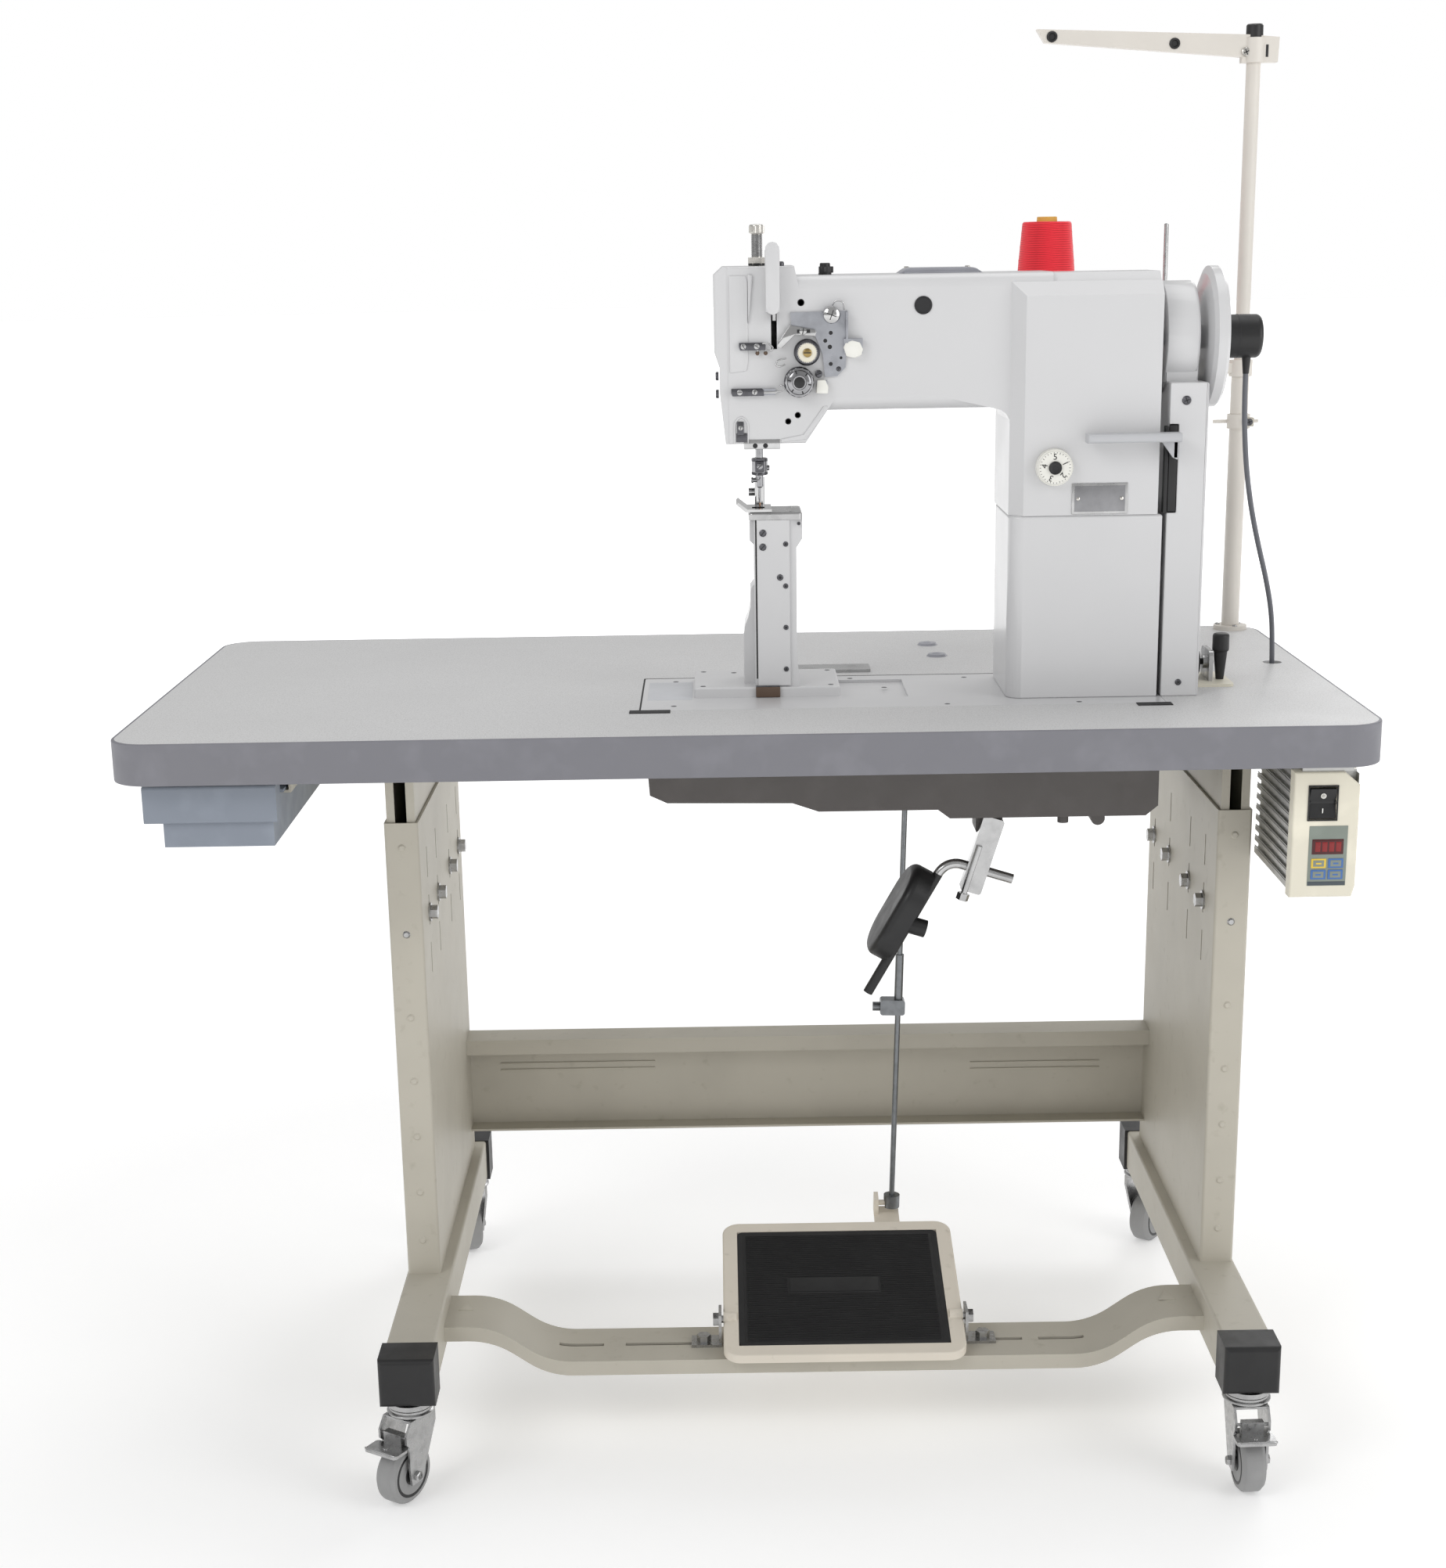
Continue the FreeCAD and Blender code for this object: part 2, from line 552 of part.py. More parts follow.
def make_footrest():
    """Dropped channel between the foot beams, with slots for the treadle brackets."""
    high, low, skirt = "rest_high", "rest_low", "rest_skirt"

    def drop(name, y_span, inset, floor_drop):
        """Dropped bar; inset thins it on top, floor_drop lowers its underside."""
        top, deck = "%s - %s" % (high, inset), "%s - %s" % (low, inset)
        under, under_deck = "%s - %s" % (high, floor_drop), "%s - %s" % (low, floor_drop)
        corners = [(side_to_side("foot_in")[0], top), (side_to_side("bend_out")[0], top),
                   (side_to_side("bend_in")[0], deck), (side_to_side("bend_in")[1], deck),
                   (side_to_side("bend_out")[1], top), (side_to_side("foot_in")[1], top),
                   (side_to_side("foot_in")[1], under), (side_to_side("bend_out")[1], under),
                   (side_to_side("bend_in")[1], under_deck), (side_to_side("bend_in")[0], under_deck),
                   (side_to_side("bend_out")[0], under), (side_to_side("foot_in")[0], under)]
        return profile(name, "XZ", corners, y_span)

    bar = drop("footrest_bar_body", ("rest_front", "rest_back"), "0", skirt)
    dress(bar, "Fillet", "80", lambda edge: runs(edge, "y") and bend_corner(edge))
    room = drop("footrest_room", ("rest_front + sheet", "rest_back - sheet"), "sheet", skirt + " + 5")
    dress(room, "Fillet", "80", lambda edge: runs(edge, "y") and bend_corner(edge))
    slots = [block("rest_slot_%d" % i, span,
                   ("(rest_front + rest_back)/2 - 3", "(rest_front + rest_back)/2 + 3"),
                   ("rest_low - 6", "rest_low + 3")) for i, span in enumerate(
                       (("-205", "-158"), ("-135", "-38"), ("222", "285"), ("302", "350")))]
    node("footrest_bar", cut("footrest_cut", bar, room, *slots))


def bend_corner(edge):
    """The bar's eight bends, away from its two ends."""
    return abs(middle(edge).x - CELLS["stand_mid"]) < CELLS["foot_in"] - 10


def make_stand_hardware():
    """Sleeve bolts, face rivets and the two treadle brackets with their bolts."""
    pieces = []
    for side in (-1, 1):
        tag = "lr"[side > 0]
        for i, y in enumerate((-62, 18, 132, 224)):
            head = side_span(side, "leg_in - 9", "leg_in - 2")
            washer = side_span(side, "leg_in - 2", "leg_in")
            bolt = hexagon("bolt_%s%d" % (tag, i), "x", (str(y), "bolt_z"), "13", head)
            disc = rod("washer_%s%d" % (tag, i), "x", (str(y), "bolt_z"), "10", washer)
            pieces.append(fuse("bolt_set_%s%d" % (tag, i), bolt, disc))
        middle_x = "stand_mid %s (leg_in + leg_out)/2" % ("+" if side > 0 else "-")
        for i, z in enumerate((-148, -240, -330, -400, -462, -525, -580)):
            pieces.append(taper("rivet_%s%d" % (tag, i), "y", (middle_x, str(z)), ("2.5", "4"),
                                ("leg_front - 1.6", "leg_front")))
    for side in (-1, 1):
        pieces.append(treadle_bracket(side))
    node("stand_hardware", group("hardware_group", *pieces))


def treadle_bracket(side):
    """Angle bracket on the footrest with the pin that the treadle turns on."""
    tag = "bracket_%s" % "lr"[side > 0]
    reach = "pedal_wide/2 + 2"

    def span(low, high):
        if side > 0:
            return ("pedal_x + %s + %s" % (reach, low), "pedal_x + %s + %s" % (reach, high))
        return ("pedal_x - (%s + %s)" % (reach, high), "pedal_x - (%s + %s)" % (reach, low))

    foot = block(tag + "_foot", span("0", "32"), ("pivot_y - 16", "pivot_y + 8"),
                 ("rest_low", "rest_low + 3"))
    ear = block(tag + "_ear", span("0", "3"), ("pivot_y - 14", "pivot_y + 14"),
                ("rest_low", "pivot_z + 10"))
    pin_span = ("pedal_x + pedal_wide/2 - 9", "pedal_x + pedal_wide/2 + 5") if side > 0 else (
        "pedal_x - pedal_wide/2 - 5", "pedal_x - pedal_wide/2 + 9")
    pin = rod(tag + "_pin", "x", ("pivot_y", "pivot_z"), "pin", pin_span)
    head = hexagon(tag + "_head", "x", ("pivot_y", "pivot_z"), "13", span("3", "9"))
    nut = hexagon(tag + "_nut", "z", (span("19", "19")[0], "pivot_y - 5"), "13",
                  ("rest_low + 3", "rest_low + 10"))
    return fuse(tag, foot, ear, pin, head, nut)


# ---- treadle and pitman ---------------------------------------------------------------

def make_treadle():
    """Pressed treadle drawn flat about its pivot: X across, Y to the toe, Z up."""
    half = "pedal_wide/2"
    deck = block("pedal_deck", ("-" + half, half), ("-pivot_ahead", "pedal_long - pivot_ahead"),
                 ("-pedal_thick/2 - 2", "pedal_thick/2 - 2"))
    deck = softened("pedal_round", deck, 18, lambda edge: runs(edge, "z"))
    deck = softened("pedal_soft", deck, 2, lambda edge: middle(edge).z > 2.5)
    tray = block("pedal_tray", ("-%s + pedal_rim" % half, half + " - pedal_rim"),
                 ("-pivot_ahead + pedal_rim", "pedal_long - pivot_ahead - pedal_rim"),
                 ("pedal_thick/2 - 2 - mat_deep", "pedal_thick"))
    pin_way = rod("pedal_pin_way", "x", ("0", "0"), "pin + run_gap", ("-%s - 1" % half, "-%s + 12" % half))
    pin_way_r = rod("pedal_pin_way_r", "x", ("0", "0"), "pin + run_gap", (half + " - 12", half + " + 1"))
    ball_x = "rod_low_x - pedal_x"
    ball_y = "(rod_y - pivot_y)*cos(pedal_tilt) + (rod_low_z - pivot_z)*sin(pedal_tilt)"
    ball_z = "(rod_low_z - pivot_z)*cos(pedal_tilt) - (rod_y - pivot_y)*sin(pedal_tilt)"
    arm = block("pedal_link", (ball_x + " - 20", ball_x + " + 8"),
                ("pedal_long - pivot_ahead - 22", ball_y + " + 8"),
                ("-pedal_thick/2 - 5", "-pedal_thick/2 - 2"))
    lug = block("pedal_lug", (ball_x + " - 20", ball_x + " - 15"), (ball_y + " - 8", ball_y + " + 8"),
                ("-pedal_thick/2 - 5", ball_z + " + 9"))
    stud = rod("pedal_stud", "x", (ball_y, ball_z), "3", (ball_x + " - 16", ball_x))
    joint = ball("pedal_ball", (ball_x, ball_y, ball_z), "rod_ball")
    bosses = [rod("pedal_boss_%d" % i, "x", ("0", "0"), "7.5", span)
              for i, span in enumerate((("-%s" % half, "-%s + 14" % half), (half + " - 14", half)))]
    plate = cut("pedal_cut", fuse("pedal_fused", deck, arm, lug, stud, joint, *bosses),
                tray_clear("pedal", tray, half), pin_way, pin_way_r)
    hung("treadle_plate", plate, "pedal_x", "pivot_y", "pivot_z", "x", "pedal_tilt")
    mat = block("mat_base", ("-%s + pedal_rim + 0.3" % half, half + " - pedal_rim - 0.3"),
                ("-pivot_ahead + pedal_rim + 0.3", "pedal_long - pivot_ahead - pedal_rim - 0.3"),
                ("pedal_thick/2 - 2 - mat_deep", "pedal_thick/2 - 2.5"))
    mat = softened("mat_round", mat, 6, lambda edge: runs(edge, "z"))
    hung("treadle_mat", mat, "pedal_x", "pivot_y", "pivot_z", "x", "pedal_tilt")


def tray_clear(name, tray, half):
    """The mat's recess, which stops short of the two pivot bosses."""
    keep = [block("%s_keep_%d" % (name, i), span, ("-9", "9"), ("-pedal_thick", "pedal_thick"))
            for i, span in enumerate((("-%s" % half, "-%s + 14" % half), (half + " - 14", half)))]
    return cut(name + "_tray_clear", tray, *keep)


def make_pitman():
    """Rod from the treadle's toe to the motor's speed lever, drawn up from its lower end."""
    high = "rod_top_z - rod_low_z"
    bar = rod("pitman_bar", "z", ("0", "0"), "rod", ("rod_ball + 1", high))
    sleeve = rod("pitman_sleeve", "z", ("0", "0"), "sleeve",
                 ("clamp_z - rod_low_z", "sleeve_top - rod_low_z"))
    clamp = block("pitman_clamp", ("-20", "7"), ("-8", "8"),
                  ("clamp_z - rod_low_z - 8", "clamp_z - rod_low_z + 9"))
    clamp = softened("pitman_clamp_soft", clamp, 3, lambda edge: runs(edge, "y"))
    screw = rod("pitman_screw", "x", ("0", "clamp_z - rod_low_z"), "5", ("-28", "-19"))
    cup = rod("pitman_cup", "z", ("0", "0"), "rod_ball + 2.5", ("-5", "rod_ball + 3"))
    hollow = ball("pitman_hollow", ("0", "0", "0"), "rod_ball + run_gap")
    stud_way = rod("pitman_stud_way", "x", ("0", "0"), "4.4", ("-20", "0"))
    opening = block("pitman_opening", ("-20", "0"), ("-4.4", "4.4"), ("-6", "0"))
    socket = cut("pitman_socket", cup, hollow, stud_way, opening)
    whole = fuse("pitman_fused", bar, sleeve, clamp, screw, socket)
    hung("pitman_rod", whole, "rod_low_x", "rod_y", "rod_low_z", "y",
         "atan((rod_top_x - rod_low_x)/(rod_top_z - rod_low_z))")


# ---- casters --------------------------------------------------------------------------

# corner name: which side of the stand, which end of the foot beam, where the wheel trails, brake
CASTERS = {"front_left": (-1, -1, 148, True), "front_right": (1, -1, 182, True),
           "rear_left": (-1, 1, 20, False), "rear_right": (1, 1, -35, False)}


def caster_spot(side, end):
    """Swivel axis under the end cap."""
    x = "stand_mid %s (foot_in + foot_out)/2" % ("+" if side > 0 else "-")
    y = "foot_front - 18" if end < 0 else "foot_back + 18"
    return x, y


def make_caster(corner, side, end, heading, braked):
    """Caster drawn about its swivel axis with the wheel trailing along +Y, then turned."""
    tag = "caster_" + corner
    half = "fork_wide/2"
    upper = rod(tag + "_upper", "z", ("0", "0"), "disc", ("beam_low - 6.5", "beam_low - 1.5"))
    stem = rod(tag + "_stem", "z", ("0", "0"), "5", ("beam_low - 2", "beam_low - 1.4"))
    lower = rod(tag + "_lower", "z", ("0", "0"), "disc - 1", ("fork_top", "beam_low - 8"))
    neck = rod(tag + "_neck", "z", ("0", "0"), "9", ("beam_low - 9", "beam_low - 6"))
    crown = block(tag + "_crown", ("-" + half, half), ("-16", "22"), ("fork_top - fork_sheet", "fork_top"))
    sides = []
    for i, x in enumerate((("-" + half, "-%s + fork_sheet" % half), (half + " - fork_sheet", half))):
        sides.append(profile("%s_cheek_%d" % (tag, i), "YZ", (
            ("-16", "fork_top"), ("-16", "fork_top - 12"), ("trail - 8", "wheel - 8"),
            ("trail + 8", "wheel - 8"), ("trail + 10", "wheel + 12"), ("trail + 9", "wheel + 34"),
            ("30.5", "wheel + 39"), ("30.5", "wheel + 48"), ("22", "fork_top")), x))
    axle = rod(tag + "_axle", "x", ("trail", "wheel"), "axle", ("-%s - 4" % half, half + " + 4"))
    if braked:
        sides.append(rod(tag + "_brake_pin", "x", ("26.5", "wheel + 44"), "1.6",
                         ("-%s + 1" % half, half + " - 1")))
    fork = fuse(tag + "_fork_fused", upper, stem, lower, neck, crown, axle, *sides)
    x, y = caster_spot(side, end)
    hung(tag + "_fork", fork, x, y, "0", "z", str(heading), from_floor=True)

    tread = turned(tag + "_wheel_body", "x", ("trail", "wheel"), (
        ("-wheel_wide/2", "axle + run_gap"), ("-wheel_wide/2", "wheel - 4"),
        ("-wheel_wide/2 + 4", "wheel - 0.4"), ("0", "wheel"),
        ("wheel_wide/2 - 4", "wheel - 0.4"), ("wheel_wide/2", "wheel - 4"),
        ("wheel_wide/2", "axle + run_gap")))
    way = rod(tag + "_way", "x", ("trail", "wheel"), "axle + run_gap", ("-wheel_wide", "wheel_wide"))
    hung(tag + "_wheel", cut(tag + "_wheel_cut", tread, way), x, y, "0", "z", str(heading), from_floor=True)
    if braked:
        plate = block(tag + "_pedal", ("-20", "20"), ("30", "52"), ("wheel + 33", "wheel + 36"))
        plate = softened(tag + "_pedal_soft", plate, 4, lambda edge: runs(edge, "z"))
        lug = block(tag + "_lug", ("-11", "11"), ("23", "31"), ("wheel + 33", "wheel + 48"))
        bore = rod(tag + "_brake_bore", "x", ("26.5", "wheel + 44"), "1.6 + run_gap", ("-12", "12"))
        brake = cut(tag + "_brake_cut", fuse(tag + "_brake_fused", plate, lug), bore)
        hung(tag + "_brake", brake, x, y, "0", "z", str(heading), from_floor=True)


# ---- bed and post ---------------------------------------------------------------------

def make_bed():
    """Flat bed casting, flush with the table, with a rim below and two shallow recesses."""
    plate = block("bed_block", ("bed_left", "bed_right"), ("bed_front", "bed_back"), ("-bed_depth", "0"))
    plate = softened("bed_round", plate, "bed_corner", lambda edge: runs(edge, "z"))
    room = block("bed_room", ("bed_left + bed_wall", "bed_right - bed_wall"),
                 ("bed_front + bed_wall", "bed_back - bed_wall"), ("-bed_depth - 1", "-bed_plate"))
    right = block("bed_recess_r", ("99", "165"), ("-117", "-19"), ("-3", "1"))
    left = block("bed_recess_l", ("-97", "-52"), ("-117", "-19"), ("-3", "1"))
    node("bed_casting", cut("bed_cut", plate, room, right, left))


def make_post():
    """Narrow post with an open front and top, on its raised base."""
    base = block("post_foot", ("-50", "97"), ("-108", "-4"), ("0", "post_base"))
    base = softened("post_foot_soft", base, 2, lambda edge: runs(edge, "z") or middle(edge).z > 9.9)
    tower = profile("post_tower", "XZ", (("post_left", "9"), ("post_right + 3", "9"),
                    ("post_right", "40"), ("post_right", "149"), ("post_right + 6", "158"),
                    ("post_right + 6", "post_top"), ("post_left", "post_top")),
                    ("post_front", "post_back"))
    ear = profile("post_ear", "XZ", (("post_left - 4", "155"), ("post_left + 1", "150"),
                  ("post_left + 1", "post_top"), ("post_left - 4", "post_top")), ("-92", "post_back"))
    rear = profile("post_buttress", "XZ", (
        ("1", "9"), ("13", "9"), ("13", "112"), ("8.5", "106"), ("8", "88"), ("5.5", "77"),
        ("2.5", "70"), ("1", "60")), ("-84", "post_back"))
    room = block("post_room", ("post_left + post_wall", "post_right - post_wall"),
                 ("post_front + post_wall", "post_back - post_wall"), ("post_base + 4", "post_top + 1"))
    mouth = block("post_mouth", ("13.2", "45"), ("post_front - 1", "post_front + post_wall + 1"),
                  ("post_base + 8", "post_top + 1"))
    fused = fuse("post_fused", base, tower, ear, rear)
    node("post_casting", cut("post_cut", fused, room, mouth))


def make_post_plates():
    cover = block("cover_plate", ("cover_left", "cover_right"), ("post_front - 3", "post_front"),
                  ("post_base + 1", "post_top"))
    cover = softened("cover_soft", cover, 1, lambda edge: middle(edge).y < CELLS["post_front"] - 2.9)
    node("post_cover", cover)
    plate = block("throat_block", ("post_left - 5", "post_right + 6"), ("post_front - 3", "post_back"),
                  ("post_top", "post_top + 7"))
    plate = softened("throat_round", plate, 4, lambda edge: runs(edge, "z"))
    plate = softened("throat_soft", plate, 2, lambda edge: middle(edge).z > CELLS["post_top"] + 6.9)
    hole = rod("needle_hole", "z", ("needle_x", "needle_y"), "2", ("post_top - 1", "post_top + 8"))
    node("needle_plate", cut("throat_cut", plate, hole))


def make_hook():
    """Rotary hook on its upright shaft inside the post."""
    shaft = rod("hook_shaft", "z", ("33", "-74"), "4", ("post_base + 4.5", "152"))
    basket = rod("hook_basket", "z", ("33", "-74"), "13", ("150", "168"))
    well = rod("hook_well", "z", ("33", "-74"), "10", ("154", "169"))
    bobbin = rod("hook_bobbin", "z", ("33", "-74"), "6", ("150", "165"))
    node("rotary_hook", fuse("hook_fused", cut("hook_cut", basket, well), shaft, bobbin))


# ---- column, arm and covers -------------------------------------------------------------

def make_column_base():
    base = block("riser", ("column_left", "column_right"), ("column_front", "column_back"),
                 ("0", "column_split"))
    base = softened("riser_round", base, 14, lambda edge: runs(edge, "z") and middle(edge).x < 300)
    base = softened("riser_soft", base, 3, lambda edge: middle(edge).z > CELLS["column_split"] - 0.1)
    room = block("riser_room", ("column_left + column_wall", "column_right - column_wall"),
                 ("column_front + column_wall", "column_back - column_wall"), ("-1", "column_split + 1"))
    node("column_base", cut("riser_cut", base, room))


def make_arm():
    """Arm casting: upper column, arm and head in one, bored for the main shaft."""
    arm = profile("arm_body", "XZ", (
        ("head_left", "head_low"), ("head_right", "head_low"), ("head_right + 21", "arm_low"),
        ("column_left - 16", "arm_low"), ("column_left - 9", "arm_low - 1.6"),
        ("column_left - 3.5", "arm_low - 5.5"), ("column_left", "arm_low - 12"),
        ("column_left + 1", "arm_low - 20"), ("column_left + 2", "arm_low - 30"),
        ("column_left + 40", "arm_low - 30"), ("column_left + 40", "arm_top"),
        ("head_right - 8", "arm_top"), ("head_right - 10", "head_top"), ("head_left", "head_top")),
        ("arm_front", "arm_back"))
    dress(arm, "Fillet", "arm_soft", lambda edge: runs(edge, "x") and arm_edge_chosen(edge))
    dress(arm, "Fillet", "2", lambda edge: runs(edge, "x") and head_edge_chosen(edge))
    column = block("column_block", ("column_left", "column_right - 5"), ("column_front", "column_back"),
                   ("column_split", "column_top"))
    column = softened("column_slope", column, 13, lambda edge: column_slope_chosen(edge), "Part::Chamfer")
    column = softened("column_soft", column, 4, lambda edge: runs(edge, "x") and middle(edge).y > -20)
    crown = block("column_crown", ("column_left + 20", "column_right - 5"), ("arm_front + 6", "arm_back - 4"),
                  ("column_top - 20", "arm_top - 1"))
    crown = softened("crown_soft", crown, 8, lambda edge: runs(edge, "x") and middle(edge).z > 400,
                     "Part::Chamfer")
    outer = fuse("arm_outer", arm, column, crown)

    line = ("shaft_y", "shaft_z")
    tunnels = [rod("tunnel_%d" % i, "x", line, "bore", span) for i, span in enumerate(
        (("72", "150"), ("162", "262"), ("274", "column_right - 21")))]
    shaft_way = rod("shaft_way", "x", line, "shaft + run_gap", ("head_left", "column_right + 1"))
    head_room = block("head_room", ("head_left - 1", "cavity_right"), ("arm_front + 9", "arm_back - 9"),
                      ("head_low + 9", "head_top - 10"))
    column_room = block("column_room", ("column_left + column_wall", "column_right - 5 - column_wall"),
                        ("column_front + column_wall", "column_back - column_wall"),
                        ("column_split", "shaft_z - bore - 12"))
    needle_way = rod("needle_way", "z", ("needle_x", "needle_y"), "needle_bar + run_gap",
                     ("head_low - 1", "head_low + 10"))
    presser_way = rod("presser_way", "z", ("needle_x", "presser_y"), "presser + run_gap",
                      ("head_low - 1", "head_low + 10"))
    regulator_way = rod("regulator_way", "z", ("needle_x", "presser_y"), "5 + run_gap",
                        ("head_top - 11", "head_top + 1"))
    take_up_way = block("take_up_way", ("30.5", "36"), ("arm_front - 1", "arm_front + 10"), ("342", "412"))
    bored = cut("arm_bored", outer, shaft_way, head_room, column_room, needle_way, presser_way,
                regulator_way, take_up_way, *tunnels)
    pivot = rod("take_up_pivot", "x", ("presser_y", "372"), "3.5", ("28", "cavity_right + 1"))
    stud = rod("dial_stud", "y", ("dial_x", "dial_z"), "4", ("column_front - 13", "column_front + 1"))
    node("arm_casting", fuse("arm_done", bored, pivot, stud))


def arm_edge_chosen(edge):
    """The arm's long top and bottom edges between head and column."""
    spot = middle(edge)
    return spot.x > 90 and (spot.z > 405 or abs(spot.z - CELLS["arm_low"]) < 0.1)


def head_edge_chosen(edge):
    spot = middle(edge)
    return spot.x < 60 and (spot.z > 415 or spot.z < 255)


def column_slope_chosen(edge):
    """Front left upright edge and front top edge of the column."""
    spot = middle(edge)
    if spot.y > CELLS["column_front"] + 0.1:
        return False
    return (runs(edge, "z") and spot.x < 300) or (runs(edge, "x") and spot.z > 390)


def make_face_cover():
    """End cover of the head, and the guard over the take-up lever."""
    cover = profile("face_body", "XZ", (
        ("head_left - 3.5", "head_low"), ("head_left", "head_low"), ("head_left", "head_top"),
        ("face_left + 9", "head_top"), ("face_left", "head_top - 8"), ("face_left", "340"),
        ("face_left + 5", "325"), ("face_left + 5", "300")), ("arm_front + 0.5", "arm_back - 0.5"))
    dress(cover, "Fillet", "3", lambda edge: middle(edge).x < CELLS["face_left"] + 0.5 and runs(edge, "z"))
    shell = block("guard_shell", ("25", "39"), ("arm_front - 15", "arm_front"), ("377", "434"))
    shell = softened("guard_soft", shell, 4, lambda edge: middle(edge).y < CELLS["arm_front"] - 14.9
                     and not runs(edge, "x") or (middle(edge).z > 433 and middle(edge).y < -139))
    room = block("guard_room", ("27", "37"), ("arm_front - 13", "arm_front + 1"), ("376", "431"))
    node("face_cover", group("face_group", cover, cut("guard_cut", shell, room)))


def make_belt_cover():
    """Hollow guard around the belt: a box over the table slot and a hood over the pulley."""
    line = ("shaft_y", "shaft_z")

    def side(name, inset, lift, x_span):
        return profile(name, "YZ", (
            ("column_front + " + inset, lift), ("guard_back - " + inset, lift),
            ("guard_back - " + inset, "56"), ("shaft_y + 60 - " + inset, "guard_top - " + inset),
            ("column_front + " + inset, "guard_top - " + inset)), x_span)

    walls = side("guard_box", "0", "0", ("guard_left", "guard_right"))
    dress(walls, "Fillet", "3", lambda edge: middle(edge).x > CELLS["guard_right"] - 0.1
          and middle(edge).z > 1)
    hood = rod("hood_outer", "x", line, "hood", ("hood_left", "hood_right"))
    hood = softened("hood_soft", hood, 4, lambda edge: middle(edge).x > CELLS["hood_right"] - 0.1)
    room = side("guard_room_box", "guard_wall", "-1", ("guard_left + guard_wall", "guard_right - guard_wall"))
    hood_room = rod("hood_room", "x", line, "hood - guard_wall",
                    ("hood_left + guard_wall", "hood_right - guard_wall"))
    neck = profile("hood_neck", "YZ", (
        ("shaft_y - 44", "guard_top - 1"), ("shaft_y + 60", "guard_top - 1"),
        ("shaft_y + hood - 2", "shaft_z + 12"), ("shaft_y - 44", "shaft_z + 12")),
        ("hood_left", "hood_right"))
    neck_room = profile("neck_room", "YZ", (
        ("shaft_y - 41.5", "guard_top - 10"), ("shaft_y + 60 - guard_wall", "guard_top - 10"),
        ("shaft_y + 60 - guard_wall", "guard_top"), ("shaft_y + hood - 2 - guard_wall", "shaft_z + 11"),
        ("shaft_y - 41.5", "shaft_z + 11")), ("guard_left + guard_wall", "hood_right - guard_wall"))
    shaft_way = rod("guard_shaft_way", "x", line, "shaft + 2", ("hood_left - 1", "hood_left + 4"))
    hub_way = rod("guard_hub_way", "x", line, "13", ("hood_right - 6", "guard_right + 1"))
    lever_way = block("lever_way", ("guard_left - 1", "guard_left + 9"),
                      ("column_front - 1", "column_front + 8"), ("181", "266"))
    shell = cut("guard_cut_out", fuse("guard_outer", walls, hood, neck), room, hood_room, neck_room,
                shaft_way, hub_way, lever_way)
    pivot = rod("lever_pivot", "x", ("-95", "240"), "4", ("guard_left + 1", "guard_left + 13"))
    node("belt_cover", fuse("guard_done", shell, pivot))


# ---- shaft line and drive ---------------------------------------------------------------

def pulley_stations(left):
    """Grooved rim, from its left face: (position, radius) pairs."""
    lip = "pulley + 7"
    return ((left, lip), (left + " + 3", lip), (left + " + 3", "pulley"), (left + " + 13", "pulley"),
            (left + " + 13", lip), (left + " + 16", lip))


def make_handwheel():
    """Handwheel and machine pulley in one turned piece."""
    stations = pulley_stations("belt_x - 8") + (
        ("belt_x + 8", "11"), ("wheel_left", "11"), ("wheel_left", "44"), ("wheel_left + 3", "60"),
        ("wheel_left + 6", "hand_wheel"), ("wheel_right - 3", "hand_wheel"),
        ("wheel_right", "hand_wheel - 3"), ("wheel_right", "hand_wheel - 15"),
        ("wheel_right - 6", "hand_wheel - 20"), ("wheel_right - 6", "24"), ("wheel_right", "22"))
    wheel = turned("handwheel_body", "x", ("shaft_y", "shaft_z"), stations)
    way = rod("handwheel_way", "x", ("shaft_y", "shaft_z"), "shaft", ("belt_x - 20", "wheel_right + 1"))
    node("handwheel", cut("handwheel_cut", wheel, way))


def make_main_shaft():
    line = ("shaft_y", "shaft_z")
    shaft = rod("shaft_bar", "x", line, "shaft", ("40", "sync_right - 8"))
    crank = rod("shaft_crank", "x", line, "22", ("42", "51"))
    pin = rod("crank_pin", "x", ("shaft_y", "shaft_z + 14"), "4", ("38", "42"))
    node("main_shaft", fuse("shaft_fused", shaft, crank, pin))


def make_sync_unit():
    line = ("shaft_y", "shaft_z")
    drum = rod("sync_drum", "x", line, "sync", ("wheel_right + 0.6", "sync_right"))
    drum = softened("sync_soft", drum, 5, lambda edge: middle(edge).x > CELLS["sync_right"] - 0.1)
    way = rod("sync_way", "x", line, "shaft + run_gap", ("wheel_right", "sync_right - 7"))
    node("sync_unit", cut("sync_cut", drum, way))


def make_motor():
    """Servo motor hung under the table, with its mounting foot and lever pin."""
    line = ("motor_y", "motor_z")
    can = rod("motor_can", "x", line, "motor", ("motor_left", "motor_right"))
    can = softened("motor_soft", can, 6, lambda edge: edge.Curve.TypeId == "Part::GeomCircle")
    foot = block("motor_foot", ("motor_left + 24", "motor_right - 22"), ("motor_y - 34", "motor_y + 34"),
                 ("-table_thick - 6", "-table_thick"))
    neck = block("motor_neck", ("motor_left + 40", "motor_right - 38"), ("motor_y - 22", "motor_y + 22"),
                 ("motor_z + 30", "-table_thick"))
    pin = rod("lever_pin", "x", ("lever_y", "rod_top_z"), "4", ("motor_left - 20", "motor_left + 8"))
    way = rod("motor_shaft_way", "x", line, "6 + run_gap", ("motor_right - 20", "motor_right + 1"))
    node("servo_motor", cut("motor_cut", fuse("motor_fused", can, foot, neck, pin), way))
    stations = pulley_stations("belt_x - 8")
    rim = turned("motor_rim", "x", line, stations)
    shaft = rod("motor_shaft", "x", line, "6", ("motor_right - 19", "belt_x + 12"))
    node("motor_pulley", fuse("motor_pulley_fused", rim, shaft))


